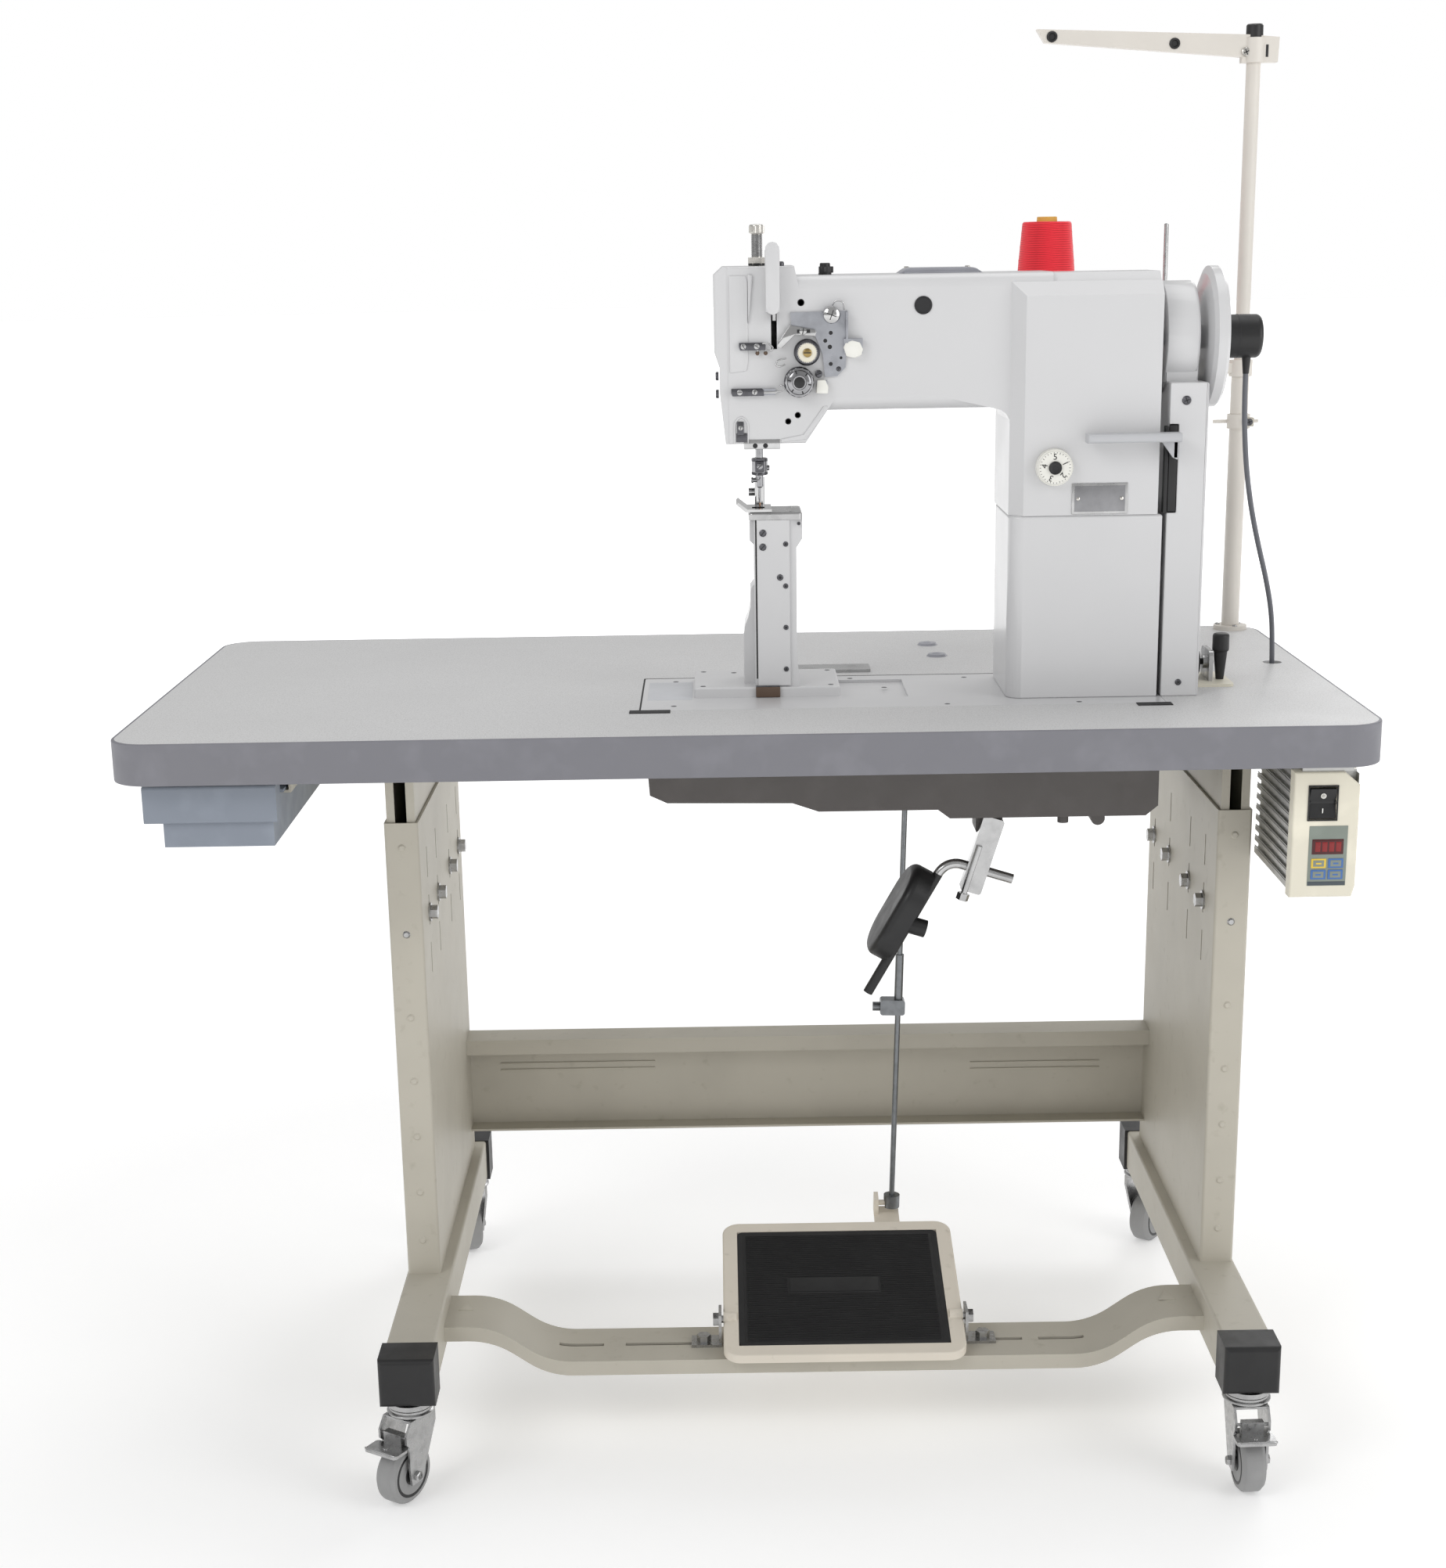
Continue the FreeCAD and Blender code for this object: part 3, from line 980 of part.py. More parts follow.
def make_speed_lever():
    """Lever on the motor's side that the pitman rod pulls down."""
    left = "motor_left - 16"
    arm = profile("speed_arm", "YZ", (("rod_y - 8", "rod_top_z - 6"), ("lever_y + 9", "rod_top_z - 8"),
                  ("lever_y + 9", "rod_top_z + 8"), ("rod_y - 8", "rod_top_z + 6")), (left, left + " + 5"))
    pin = rod("speed_pin", "x", ("rod_y", "rod_top_z"), "3.5", ("rod_top_x + 5", left + " + 1"))
    way = rod("speed_way", "x", ("lever_y", "rod_top_z"), "4 + run_gap", (left + " - 1", left + " + 6"))
    node("speed_lever", cut("speed_cut", fuse("speed_fused", arm, pin), way))


def belt_loop(name, radius, span):
    """Solid stadium round both pulleys, tilted along the line between their centres."""
    body = doc.addObject("PartDesign::Body", name)
    sketch = sketch_on(body, "YZ", name + "_outline", span[0])
    sketch.AttachmentOffset = Placement(Vector(), Rotation(Vector(0, 0, 1), 1))
    bind(sketch, AttachmentOffset__Base__x="shaft_y", AttachmentOffset__Base__y="shaft_z",
         AttachmentOffset__Base__z=span[0],
         AttachmentOffset__Rotation__Angle="atan((motor_y - shaft_y)/(shaft_z - motor_z))")
    reach = "sqrt((motor_y - shaft_y)^2 + (motor_z - shaft_z)^2)"
    outline(sketch, ((radius, "0"), (radius, "-" + reach), ("-(%s)" % radius, "-" + reach),
                     ("-(%s)" % radius, "0")))
    pad = body.newObject("PartDesign::Pad", name + "_pad")
    pad.Profile = sketch
    bind(pad, Length="(%s) - (%s)" % (span[1], span[0]))
    ends = [rod("%s_end_%d" % (name, i), "x", line, radius, span)
            for i, line in enumerate((("shaft_y", "shaft_z"), ("motor_y", "motor_z")))]
    return fuse(name + "_loop", body, *ends)


def make_belt():
    outer = belt_loop("belt_outer", "pulley + 7", ("belt_x - 4.6", "belt_x + 4.6"))
    inner = belt_loop("belt_inner", "pulley + 0.3", ("belt_x - 6", "belt_x + 6"))
    node("v_belt", cut("belt_cut", outer, inner))


# ---- needle, presser and thread parts ---------------------------------------------------

def make_needle_bar():
    spot = ("needle_x", "needle_y")
    bar = rod("needle_rod", "z", spot, "needle_bar", ("208", "385"))
    clamp = rod("needle_clamp", "z", spot, "8", ("219", "236"))
    clamp = softened("needle_clamp_soft", clamp, 1.5, lambda edge: edge.Curve.TypeId == "Part::GeomCircle")
    screw = rod("needle_screw", "x", ("needle_y", "214"), "2", ("needle_x - 7", "needle_x"))
    shank = taper("needle_tip", "z", spot, ("0.3", "0.9"), ("187", "192"))
    needle = rod("needle_shank", "z", spot, "0.9", ("191.9", "209"))
    node("needle_bar", fuse("needle_fused", bar, clamp, screw, shank, needle))


def make_presser():
    """Presser bar, its bracket, and a foot with an upturned left toe."""
    spot = ("needle_x", "presser_y")
    sole_low = "post_top + 7.4"
    bar = rod("presser_rod", "z", spot, "presser", ("205", "390"))
    shank = block("foot_shank", ("needle_x - 5", "needle_x + 5"), ("presser_y - 7", "presser_y + 6"),
                  ("post_top + 9", "214"))
    shank = softened("foot_shank_soft", shank, 2, lambda edge: runs(edge, "z"))
    sole = profile("foot_sole", "XZ", (("4", sole_low), ("30", sole_low), ("30", "post_top + 10"),
                   ("6", "post_top + 10"), ("-3", "post_top + 17"), ("-5", "post_top + 15")),
                   ("-104", "presser_y + 6"))
    slot = block("foot_slot", ("needle_x - 8", "needle_x + 4.4"), ("needle_y - 7", "needle_y + 7"),
                 ("post_top + 6", "post_top + 12"))
    screw = rod("foot_screw", "x", ("presser_y", "200"), "4", ("needle_x - 11", "needle_x - 4"))
    bracket = rod("presser_collar", "z", spot, "7", ("224", "232"))
    node("presser_foot", fuse("presser_fused", cut("foot_cut", sole, slot), bar, shank, screw, bracket))


def make_regulator():
    """Knurled screw on the head that sets the presser's force."""
    spot = ("needle_x", "presser_y")
    screw = rod("regulator_screw", "z", spot, "5", ("head_top - 12", "450"))
    nut = hexagon("regulator_nut", "z", spot, "15", ("head_top + 0.4", "head_top + 8"))
    cap = rod("regulator_cap", "z", spot, "7.3", ("449", "458"))
    cap = softened("regulator_cap_soft", cap, 1.5, lambda edge: edge.Curve.TypeId == "Part::GeomCircle")
    node("presser_regulator", fuse("regulator_fused", screw, nut, cap))


def make_take_up():
    """Take-up lever through the slot in the head's front."""
    arm = profile("take_up_arm", "YZ", (("-136", "369"), ("-110", "366"), ("-66", "364"), ("-53", "367"),
                  ("-53", "378"), ("-66", "380"), ("-110", "376"), ("-136", "376")), ("31.8", "34.8"))
    way = rod("take_up_bore", "x", ("presser_y", "372"), "3.5 + run_gap", ("31", "36"))
    eye = rod("take_up_eye", "x", ("-132", "372.5"), "1.6", ("31", "36"))
    node("take_up_lever", cut("take_up_cut", arm, way, eye))


TENSIONS = {"tension_upper": ("64.6", "338.8", "12"), "tension_lower": ("56.9", "311", "14")}


def make_thread_plate():
    """Thread plate, guides, tension studs and the bush plate under the head."""
    face = ("arm_front - 2", "arm_front")
    plate = profile("thread_sheet", "XZ", (("49", "376"), ("104", "377"), ("102", "324"), ("94", "316"),
                    ("82", "315"), ("80", "336"), ("72", "356"), ("50", "361")), face)
    flange = block("thread_flange", ("102", "104"), ("arm_front - 9", "arm_front - 2"), ("347", "376"))
    pretension = rod("pretension", "y", ("88", "373.5"), "8", ("arm_front - 12", "arm_front - 2"))
    sheet = fuse("thread_sheet_fused", plate, flange, pretension)
    studs = [rod(name + "_stud", "y", (x, z), "2.5", ("arm_front - 17", "arm_front"))
             for name, (x, z, _) in TENSIONS.items()]
    guides = [block("guide_upper", ("0", "24"), ("arm_front - 4", "arm_front"), ("342", "348")),
              block("guide_lower", ("-8", "34"), ("arm_front - 4", "arm_front"), ("299", "305")),
              block("tab_right", ("100", "118"), ("arm_front - 8", "arm_front"), ("337", "351")),
              block("tab_low", ("74", "84"), ("arm_front - 7", "arm_front"), ("300", "312"))]
    bush = block("bush_plate", ("3", "38"), ("-101", "-46"), ("head_low - 5.5", "head_low"))
    bush = softened("bush_soft", bush, 3, lambda edge: runs(edge, "z"))
    ways = [rod("bush_way_%d" % i, "z", ("needle_x", y), radius, ("head_low - 7", "head_low + 1"))
            for i, (y, radius) in enumerate((("needle_y", "needle_bar + run_gap"),
                                             ("presser_y", "presser + run_gap")))]
    node("thread_plate", fuse("thread_fused", sheet, cut("bush_cut", bush, *ways), *(studs + guides)))


def make_tension(name, x, z, size):
    """Tension disc and thumb nut on its stud."""
    disc = rod(name + "_disc", "y", (x, z), size, ("arm_front - 8.5", "arm_front - 2.4"))
    disc = softened(name + "_disc_soft", disc, 1.5, lambda edge: edge.Curve.TypeId == "Part::GeomCircle")
    nut = taper(name + "_nut", "y", (x, z), ("7", "8.5"), ("arm_front - 16", "arm_front - 8"))
    way = rod(name + "_way", "y", (x, z), "2.5 + run_gap", ("arm_front - 18", "arm_front"))
    node(name, cut(name + "_cut", fuse(name + "_fused", disc, nut), way))


def make_dial():
    spot = ("dial_x", "dial_z")
    disc = taper("dial_disc", "y", spot, ("dial - 2", "dial"), ("column_front - 11", "column_front - 0.4"))
    disc = softened("dial_soft", disc, 1.5, lambda edge: middle(edge).y < CELLS["column_front"] - 10)
    way = rod("dial_way", "y", spot, "4 + run_gap", ("column_front - 12", "column_front"))
    node("stitch_dial", cut("dial_cut", disc, way))


def make_reverse_lever():
    """Thumb bar in front of the column on an arm that turns inside the belt cover."""
    bar = block("reverse_bar", ("331", "guard_left + 7"), ("-168", "-146"), ("251", "259.5"))
    bar = softened("reverse_soft", bar, 3, lambda edge: not runs(edge, "y") and middle(edge).x < 400)
    arm = profile("reverse_arm", "YZ", (("-150", "235"), ("-87", "232"), ("-87", "248"), ("-140", "252"),
                  ("-150", "259")), ("guard_left + 3", "guard_left + 7"))
    way = rod("reverse_way", "x", ("-95", "240"), "4 + run_gap", ("guard_left + 2", "guard_left + 8"))
    node("reverse_lever", cut("reverse_cut", fuse("reverse_fused", bar, arm), way))


# ---- under the table --------------------------------------------------------------------

def make_oil_pan():
    """Drip pan under the bed, with the knee lifter's bearing below it."""
    outer = (("pan_left", "-table_thick"), ("pan_left + 3", "-84"), ("pan_left + 20", "-92"), ("46", "-94"),
             ("72", "-103"), ("190", "-103"), ("202", "pan_low"), ("pan_right - 12", "pan_low"),
             ("pan_right", "pan_low + 10"), ("pan_right", "-table_thick"))
    inner = (("pan_left + 2", "-table_thick + 1"), ("pan_left + 5", "-83"), ("pan_left + 21", "-90"),
             ("46", "-92"), ("72", "-101"), ("190", "-101"), ("202", "pan_low + 2"),
             ("pan_right - 13", "pan_low + 2"), ("pan_right - 2", "pan_low + 11"),
             ("pan_right - 2", "-table_thick + 1"))
    shell = profile("pan_outer", "XZ", outer, ("pan_front", "pan_back"))
    room = profile("pan_room", "XZ", inner, ("pan_front + 2", "pan_back - 2"))
    rim = block("pan_rim", ("pan_left - 14", "pan_right + 12"), ("pan_front - 10", "pan_back + 10"),
                ("-table_thick - 2", "-table_thick"))
    pan = cut("pan_shell", fuse("pan_whole", shell, rim), room)
    boss = block("knee_boss", ("knee_x - 15", "knee_x + 12"), ("-146", "-112"),
                 ("knee_z - 13", "pan_low + 0.5"))
    boss = softened("knee_boss_soft", boss, 8, lambda edge: runs(edge, "y") and middle(edge).z < -120)
    way = rod("knee_way", "y", ("knee_x", "knee_z"), "knee_shaft + run_gap", ("-147", "-111"))
    drain = rod("pan_drain", "z", ("318", "-150"), "5.5", ("pan_low - 12", "pan_low + 0.5"))
    roller = rod("pan_stop", "y", ("350", "pan_low - 4"), "7", ("-170", "-150"))
    node("oil_pan", fuse("pan_fused", pan, cut("knee_boss_cut", boss, way), drain, roller))


def make_knee_lever():
    """Knee lifter drawn about its shaft with the block straight down."""
    shaft = rod("knee_shaft_bar", "y", ("0", "0"), "knee_shaft", ("-46", "0"))
    grip = block("knee_block", ("-11", "11"), ("-47", "-35"), ("-71", "9"))
    grip = softened("knee_block_soft", grip, 3, lambda edge: runs(edge, "y"))
    screw = rod("knee_screw", "z", ("-6", "-48"), "3.2", ("-74", "-22"))
    stop = hexagon("knee_stop", "z", ("-6", "-48"), "11", ("-80", "-73"))
    bar = bent_rod("knee_bar", ((38, -39, -47), (-32, -39, -47), (-66, -39, -203)), 5, bend=20)
    pad = block("knee_cushion", ("-13", "9"), ("-37", "37"), ("-51", "51"))
    pad = softened("knee_cushion_oval", pad, 34, lambda edge: runs(edge, "x"))
    pad = softened("knee_cushion_soft", pad, 8, lambda edge: middle(edge).x < -12.9)
    pad.Placement = Placement(Vector(-60, -39, -112), Rotation(Vector(0, 1, 0), 12.3))
    clamp = rod("knee_pad_clamp", "x", ("-39", "-122"), "9", ("-58", "-30"))
    hung("knee_lever", fuse("knee_fused", shaft, grip, screw, stop, bar, pad, clamp),
         "knee_x", "-112", "knee_z", "y", "knee_lean")


def make_control_box():
    """Finned motor controller with its front panel and rocker switch."""
    case = block("case_block", ("box_left", "box_right"), ("box_front + bezel", "box_back"),
                 ("box_low", "box_top"))
    case = softened("case_soft", case, 3, lambda edge: runs(edge, "y"))
    fins = [block("fin_gap_%d" % i, ("box_left - 1", "box_left + 4"),
                  ("box_front + bezel + 6", "box_back + 1"),
                  ("box_low + %d" % (8 + 11 * i), "box_low + %d" % (15 + 11 * i))) for i in range(10)]
    hanger = block("case_hanger", ("box_left + 5", "box_right - 6"), ("box_front + 4", "box_back - 10"),
                   ("box_top - 1", "-table_thick"))
    node("control_box", fuse("case_fused", cut("case_cut", case, *fins), hanger))
    panel = profile("panel_body", "XZ", (("box_left - 3", "box_low - 1"), ("box_right - 3", "box_low - 1"),
                    ("box_right", "box_low + 10"), ("box_right", "box_top - 14"),
                    ("box_right - 15", "box_top - 1"), ("box_left - 3", "box_top - 1")),
                    ("box_front", "box_front + bezel"))
    pocket(panel, "XZ", (("535", "-97"), ("561", "-97"), ("561", "-65"), ("535", "-65")),
           ("box_front", "box_front + 12"))
    dress(panel, "Fillet", "2", lambda edge: abs(middle(edge).y - CELLS["box_front"]) < 0.01
          and (middle(edge).x < 530 or middle(edge).x > 566 or middle(edge).z > -60 or middle(edge).z < -160))
    pin_way = rod("rocker_pin_way", "x", ("box_front + 3", "-81"), "2 + run_gap", ("533.6", "562.4"))
    node("control_panel", cut("panel_done", panel, pin_way))
    rocker = profile("rocker_body", "YZ", (("-5", "-14.5"), ("0", "-1"), ("0", "1"), ("-5", "14.5"),
                     ("5", "13"), ("5", "-13")), ("-12.4", "12.4"))
    pins = [rod("rocker_pin_%d" % i, "x", ("0", "0"), "2", span)
            for i, span in enumerate((("-14.2", "-11.6"), ("11.6", "14.2")))]
    hung("power_rocker", fuse("rocker_fused", rocker, *pins), "548", "box_front + 3", "-81", "x", "4")


# ---- thread stand, bobbin winder and cable ----------------------------------------------

def make_thread_stand():
    """Two-step pole with a spool rest, its pins and a clamp rod."""
    spot = ("pole_x", "pole_y")
    flange = rod("pole_flange", "z", spot, "19", ("0", "5"))
    lower = rod("pole_lower", "z", spot, "pole", ("-table_thick", "pole_step"))
    upper = rod("pole_upper", "z", spot, "pole_thin", ("pole_step - 1", "pole_top + 12"))
    collar = rod("pole_collar", "z", spot, "13", ("rest_z - 9", "rest_z + 9"))
    arm = block("spool_arm", ("spool_x - 12", "pole_x"), ("pole_y - 7", "pole_y + 7"),
                ("rest_z - 6", "rest_z + 6"))
    arm = softened("spool_arm_soft", arm, 2, lambda edge: runs(edge, "x"))
    clamp = rod("clamp_bar", "x", ("pole_y", "237"), "2", ("pole_x - 29", "pole_x + 22"))
    band_clamp = rod("clamp_band", "z", spot, "13", ("229", "245"))
    solids = [flange, lower, upper, collar, arm, clamp, band_clamp]
    for i in range(2):
        spool = ("spool_x + %d*spool_gap" % i, "pole_y")
        solids.append(rod("tray_%d" % i, "z", spool, "tray", ("rest_z + 5.5", "rest_z + 9")))
        solids.append(rod("pin_%d" % i, "z", spool, "spool_pin", ("rest_z + 8", "spool_pin_top")))
    node("thread_stand", fuse("stand_fused", *solids))


def make_thread_arm():
    """Eyelet arm on top of the pole, with its cap."""
    arm = profile("eyelet_arm", "XZ", (("331", "659"), ("340", "645"), ("555", "627"), ("555", "621"),
                  ("594", "621"), ("595", "647"), ("562", "650")), ("pole_y - 7", "pole_y + 7"))
    boss = rod("arm_boss", "z", ("pole_x", "pole_y"), "12", ("621", "647"))
    way = rod("arm_way", "z", ("pole_x", "pole_y"), "pole_thin + run_gap", ("620", "pole_top + 13"))
    eyes = [rod("eye_%d" % i, "y", spot, "4", ("pole_y - 8", "pole_y + 8"))
            for i, spot in enumerate((("347.5", "651"), ("481", "642")))]
    cap = rod("pole_cap", "z", ("pole_x", "pole_y"), "9", ("647", "661"))
    cap = softened("pole_cap_soft", cap, 2, lambda edge: middle(edge).z > 660)
    bored = cut("thread_arm_cut", fuse("arm_and_boss", arm, boss), way, *eyes)
    node("thread_arm", fuse("thread_arm_fused", bored, cap))


def make_thread_cone():
    """Wound thread on its hollow core."""
    spot = ("spool_x", "pole_y")
    seat = "rest_z + 9"
    thread = taper("cone_thread", "z", spot, ("cone_low", "cone_top"), (seat + " + 4", seat + " + cone_high"))
    thread = softened("cone_soft", thread, 3, lambda edge: edge.Curve.TypeId == "Part::GeomCircle")
    core = taper("cone_core", "z", spot, ("20", "9.5"), (seat, seat + " + cone_high + 5"))
    way = taper("cone_way", "z", spot, ("18", "7.5"), (seat + " - 1", seat + " + cone_high + 6"))
    floor = rod("cone_floor", "z", spot, "18", (seat, seat + " + 3"))
    pin_way = rod("cone_pin_way", "z", spot, "spool_pin + 0.3", (seat + " - 1", seat + " + cone_high + 7"))
    hollow = cut("cone_hollow", fuse("cone_fused", thread, core), way)
    node("thread_cone", cut("cone_cut", fuse("cone_whole", hollow, floor), pin_way))


def make_bobbin_winder():
    base = block("winder_base", ("457", "497"), ("-92", "-20"), ("0", "3"))
    base = softened("winder_base_soft", base, 4, lambda edge: runs(edge, "z"))
    wall = block("winder_wall", ("474", "478"), ("-76", "-34"), ("2", "34"))
    wall = softened("winder_wall_soft", wall, 6, lambda edge: runs(edge, "x") and middle(edge).z > 30)
    boss = rod("winder_boss", "x", ("-55", "20"), "7", ("471", "481"))
    way = rod("winder_way", "x", ("-55", "20"), "3 + run_gap", ("470", "482"))
    stem = taper("winder_stem", "z", ("488", "-62"), ("4", "7"), ("2", "32"))
    grip = rod("winder_grip", "z", ("488", "-62"), "8.5", ("31", "50"))
    grip = softened("winder_grip_soft", grip, 3, lambda edge: edge.Curve.TypeId == "Part::GeomCircle")
    post = cut("winder_cut", fuse("winder_post", wall, boss), way)
    node("bobbin_winder", fuse("winder_fused", base, stem, grip, post))
    tyre = rod("winder_tyre", "x", ("-55", "20"), "14", ("459", "467"))
    tyre = softened("winder_tyre_soft", tyre, 2, lambda edge: edge.Curve.TypeId == "Part::GeomCircle")
    spindle = rod("winder_spindle", "x", ("-55", "20"), "3", ("458", "482"))
    node("bobbin_wheel", fuse("winder_wheel", tyre, spindle))


# sensor cable: out of the synchroniser, down and back into the hole in the table
CABLE_ROUTE = ((499, -74, 326), (499, -73, 292), (501, -70, 256), (507, -58, 216), (518, -38, 174),
               (532, -15, 134), (547, 8, 96), (559, 28, 58), (565, 43, 22), (567, 48, -14))


def make_sync_cable():
    cable = bent_rod("sync_cable_tube", CABLE_ROUTE, 2.7)
    node("sync_cable", cable)


# ---- everything ---------------------------------------------------------------------------

make_tabletop()
make_table_rubbers()
make_drawer()
make_under_table_brackets()
for side in (-1, 1):
    leg(side)
make_end_caps()
make_stretcher()
make_footrest()
make_stand_hardware()
make_treadle()
make_pitman()
for corner, (side, end, heading, braked) in CASTERS.items():
    make_caster(corner, side, end, heading, braked)
make_bed()
make_post()
make_post_plates()
make_hook()
make_column_base()
make_arm()
make_face_cover()
make_belt_cover()
make_handwheel()
make_main_shaft()
make_sync_unit()
make_motor()
make_speed_lever()
make_belt()
make_needle_bar()
make_presser()
make_regulator()
make_take_up()
make_thread_plate()
for name, (x, z, size) in TENSIONS.items():
    make_tension(name, x, z, size)
make_dial()
make_reverse_lever()
make_oil_pan()
make_knee_lever()
make_control_box()
make_thread_stand()
make_thread_arm()
make_thread_cone()
make_bobbin_winder()
make_sync_cable()

doc.recompute()
whole = FreeCAD.BoundBox()
for obj in doc.Objects:
    if "Invalid" in obj.State or "Error" in obj.State:
        raise RuntimeError("failed object: %s (%s)" % (obj.Label, obj.State))
for piece in NODES:
    if piece.Shape.isNull() or not piece.Shape.isValid():
        raise RuntimeError("bad shape: " + piece.Label)
    whole.add(piece.Shape.BoundBox)
print("nodes", len(NODES), "box", whole)

os.makedirs("parts", exist_ok=True)
for piece in NODES:
    piece.Shape.exportStep("parts/%s.step" % piece.Label)
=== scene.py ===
"""Looks of a post-bed sewing machine on its wheeled table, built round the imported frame.

Lengths in the tables below are millimetres from the middle of the table top: X to the operator's
right, Y away from the operator, Z up.
"""

import json
import math

import bmesh
import bpy
from mathutils import Matrix, Vector


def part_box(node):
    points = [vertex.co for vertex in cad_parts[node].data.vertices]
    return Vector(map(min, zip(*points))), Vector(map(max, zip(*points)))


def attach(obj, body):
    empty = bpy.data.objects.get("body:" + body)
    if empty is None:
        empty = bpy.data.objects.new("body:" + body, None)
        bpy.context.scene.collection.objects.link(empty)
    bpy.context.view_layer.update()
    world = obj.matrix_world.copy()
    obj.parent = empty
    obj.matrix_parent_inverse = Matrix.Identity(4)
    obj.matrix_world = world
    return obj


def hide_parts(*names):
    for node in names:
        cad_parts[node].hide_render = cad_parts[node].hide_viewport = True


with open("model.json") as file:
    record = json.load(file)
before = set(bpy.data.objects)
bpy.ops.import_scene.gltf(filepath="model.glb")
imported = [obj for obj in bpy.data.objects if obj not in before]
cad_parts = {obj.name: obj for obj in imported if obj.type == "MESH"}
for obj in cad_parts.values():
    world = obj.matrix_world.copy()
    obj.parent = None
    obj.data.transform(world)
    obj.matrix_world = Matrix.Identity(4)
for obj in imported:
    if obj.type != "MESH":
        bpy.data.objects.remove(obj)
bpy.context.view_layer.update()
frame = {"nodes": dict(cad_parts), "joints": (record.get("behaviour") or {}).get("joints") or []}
nodes = frame["nodes"]
joints = {joint["name"]: joint for joint in frame["joints"]}

band_low, band_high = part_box("table_edge_band")
TOP = Vector(((band_low.x + band_high.x) / 2, (band_low.y + band_high.y) / 2, band_high.z))
TO_ROW = Matrix.Translation(TOP) @ Matrix.Scale(0.001, 4)
TO_TABLE = TO_ROW.inverted()


def at(x, y, z):
    """Row-frame point, in metres, of a point given in millimetres from the table's middle."""
    return TO_ROW @ Vector((x, y, z))


def seat(joint, axis=(0, 0, 1), degrees=0.0):
    """Millimetre frame that stands at a joint's place, turned about an axis."""
    spot = TO_TABLE @ Vector(joints[joint]["pos_m"])
    return Matrix.Translation(spot) @ Matrix.Rotation(math.radians(degrees), 4, Vector(axis))


def put(name, data):
    """A new object in the scene."""
    obj = bpy.data.objects.new(name, data)
    bpy.context.scene.collection.objects.link(obj)
    return obj


# ---- materials ---------------------------------------------------------------------


def tone(red, green, blue):
    """Linear colour of a display colour from 0 to 255."""
    def linear(value):
        value /= 255
        return value / 12.92 if value <= 0.04045 else ((value + 0.055) / 1.055) ** 2.4
    return (linear(red), linear(green), linear(blue), 1.0)


class Shade:
    """One node material; sizes given to its patterns are millimetres."""

    def __init__(self, name, colour, rough=0.5, metal=0.0, coat=0.0, spec=0.5):
        self.mat = bpy.data.materials.new(name)
        self.mat.use_nodes = True
        self.tree = self.mat.node_tree
        self.bsdf = self.tree.nodes["Principled BSDF"]
        self.place = self.tree.nodes.new("ShaderNodeTexCoord").outputs["Object"]
        self.colour = colour
        self.bsdf.inputs["Base Color"].default_value = colour
        self.bsdf.inputs["Roughness"].default_value = rough
        self.bsdf.inputs["Metallic"].default_value = metal
        self.bsdf.inputs["Coat Weight"].default_value = coat
        self.bsdf.inputs["Coat Roughness"].default_value = 0.12
        self.bsdf.inputs["Specular IOR Level"].default_value = spec
        self.mat.diffuse_color = colour

    def node(self, kind, **values):
        made = self.tree.nodes.new("ShaderNode" + kind)
        for key, value in values.items():
            setattr(made, key, value)
        return made

    def join(self, source, target):
        self.tree.links.new(source, target)

    def stretched(self, stretch):
        shift = self.node("Mapping")
        shift.inputs["Scale"].default_value = stretch
        self.join(self.place, shift.inputs["Vector"])
        return shift.outputs["Vector"]

    def noise(self, size, detail=2.0, stretch=None):
        made = self.node("TexNoise")
        made.inputs["Scale"].default_value = 1000.0 / size
        made.inputs["Detail"].default_value = detail
        self.join(self.stretched(stretch) if stretch else self.place, made.inputs["Vector"])
        return made.outputs["Fac"]

    def cells(self, size):
        made = self.node("TexVoronoi", feature="F1")
        made.inputs["Scale"].default_value = 1000.0 / size
        self.join(self.place, made.inputs["Vector"])
        return made.outputs["Distance"]

    def math(self, operation, first, second=None):
        made = self.node("Math", operation=operation)
        for index, value in enumerate((first, second)):
            if value is None:
                continue
            if isinstance(value, (int, float)):
                made.inputs[index].default_value = value
            else:
                self.join(value, made.inputs[index])
        return made.outputs[0]

    def ramp(self, factor, low, high, first=0.0, last=1.0):
        made = self.node("MapRange")
        made.inputs["From Min"].default_value = low
        made.inputs["From Max"].default_value = high
        made.inputs["To Min"].default_value = first
        made.inputs["To Max"].default_value = last
        self.join(factor, made.inputs["Value"])
        return made.outputs["Result"]

    def tint(self, factor, colour):
        """Lay another colour over the base colour where factor is 1."""
        mix = self.node("Mix", data_type="RGBA")
        target = self.bsdf.inputs["Base Color"]
        if target.is_linked:
            self.join(target.links[0].from_socket, mix.inputs[6])
        else:
            mix.inputs[6].default_value = self.colour
        mix.inputs[7].default_value = colour
        self.join(factor, mix.inputs[0])
        self.join(mix.outputs[2], target)

    def rough(self, factor, low, high):
        self.join(self.ramp(factor, 0.3, 0.7, low, high), self.bsdf.inputs["Roughness"])

    def bump(self, height, depth, strength=1.0):
        """Depth is in millimetres."""
        made = self.node("Bump")
        made.inputs["Strength"].default_value = strength
        made.inputs["Distance"].default_value = depth / 1000
        self.join(height, made.inputs["Height"])
        target = self.bsdf.inputs["Normal"]
        if target.is_linked:
            self.join(target.links[0].from_socket, made.inputs["Normal"])
        self.join(made.outputs["Normal"], target)


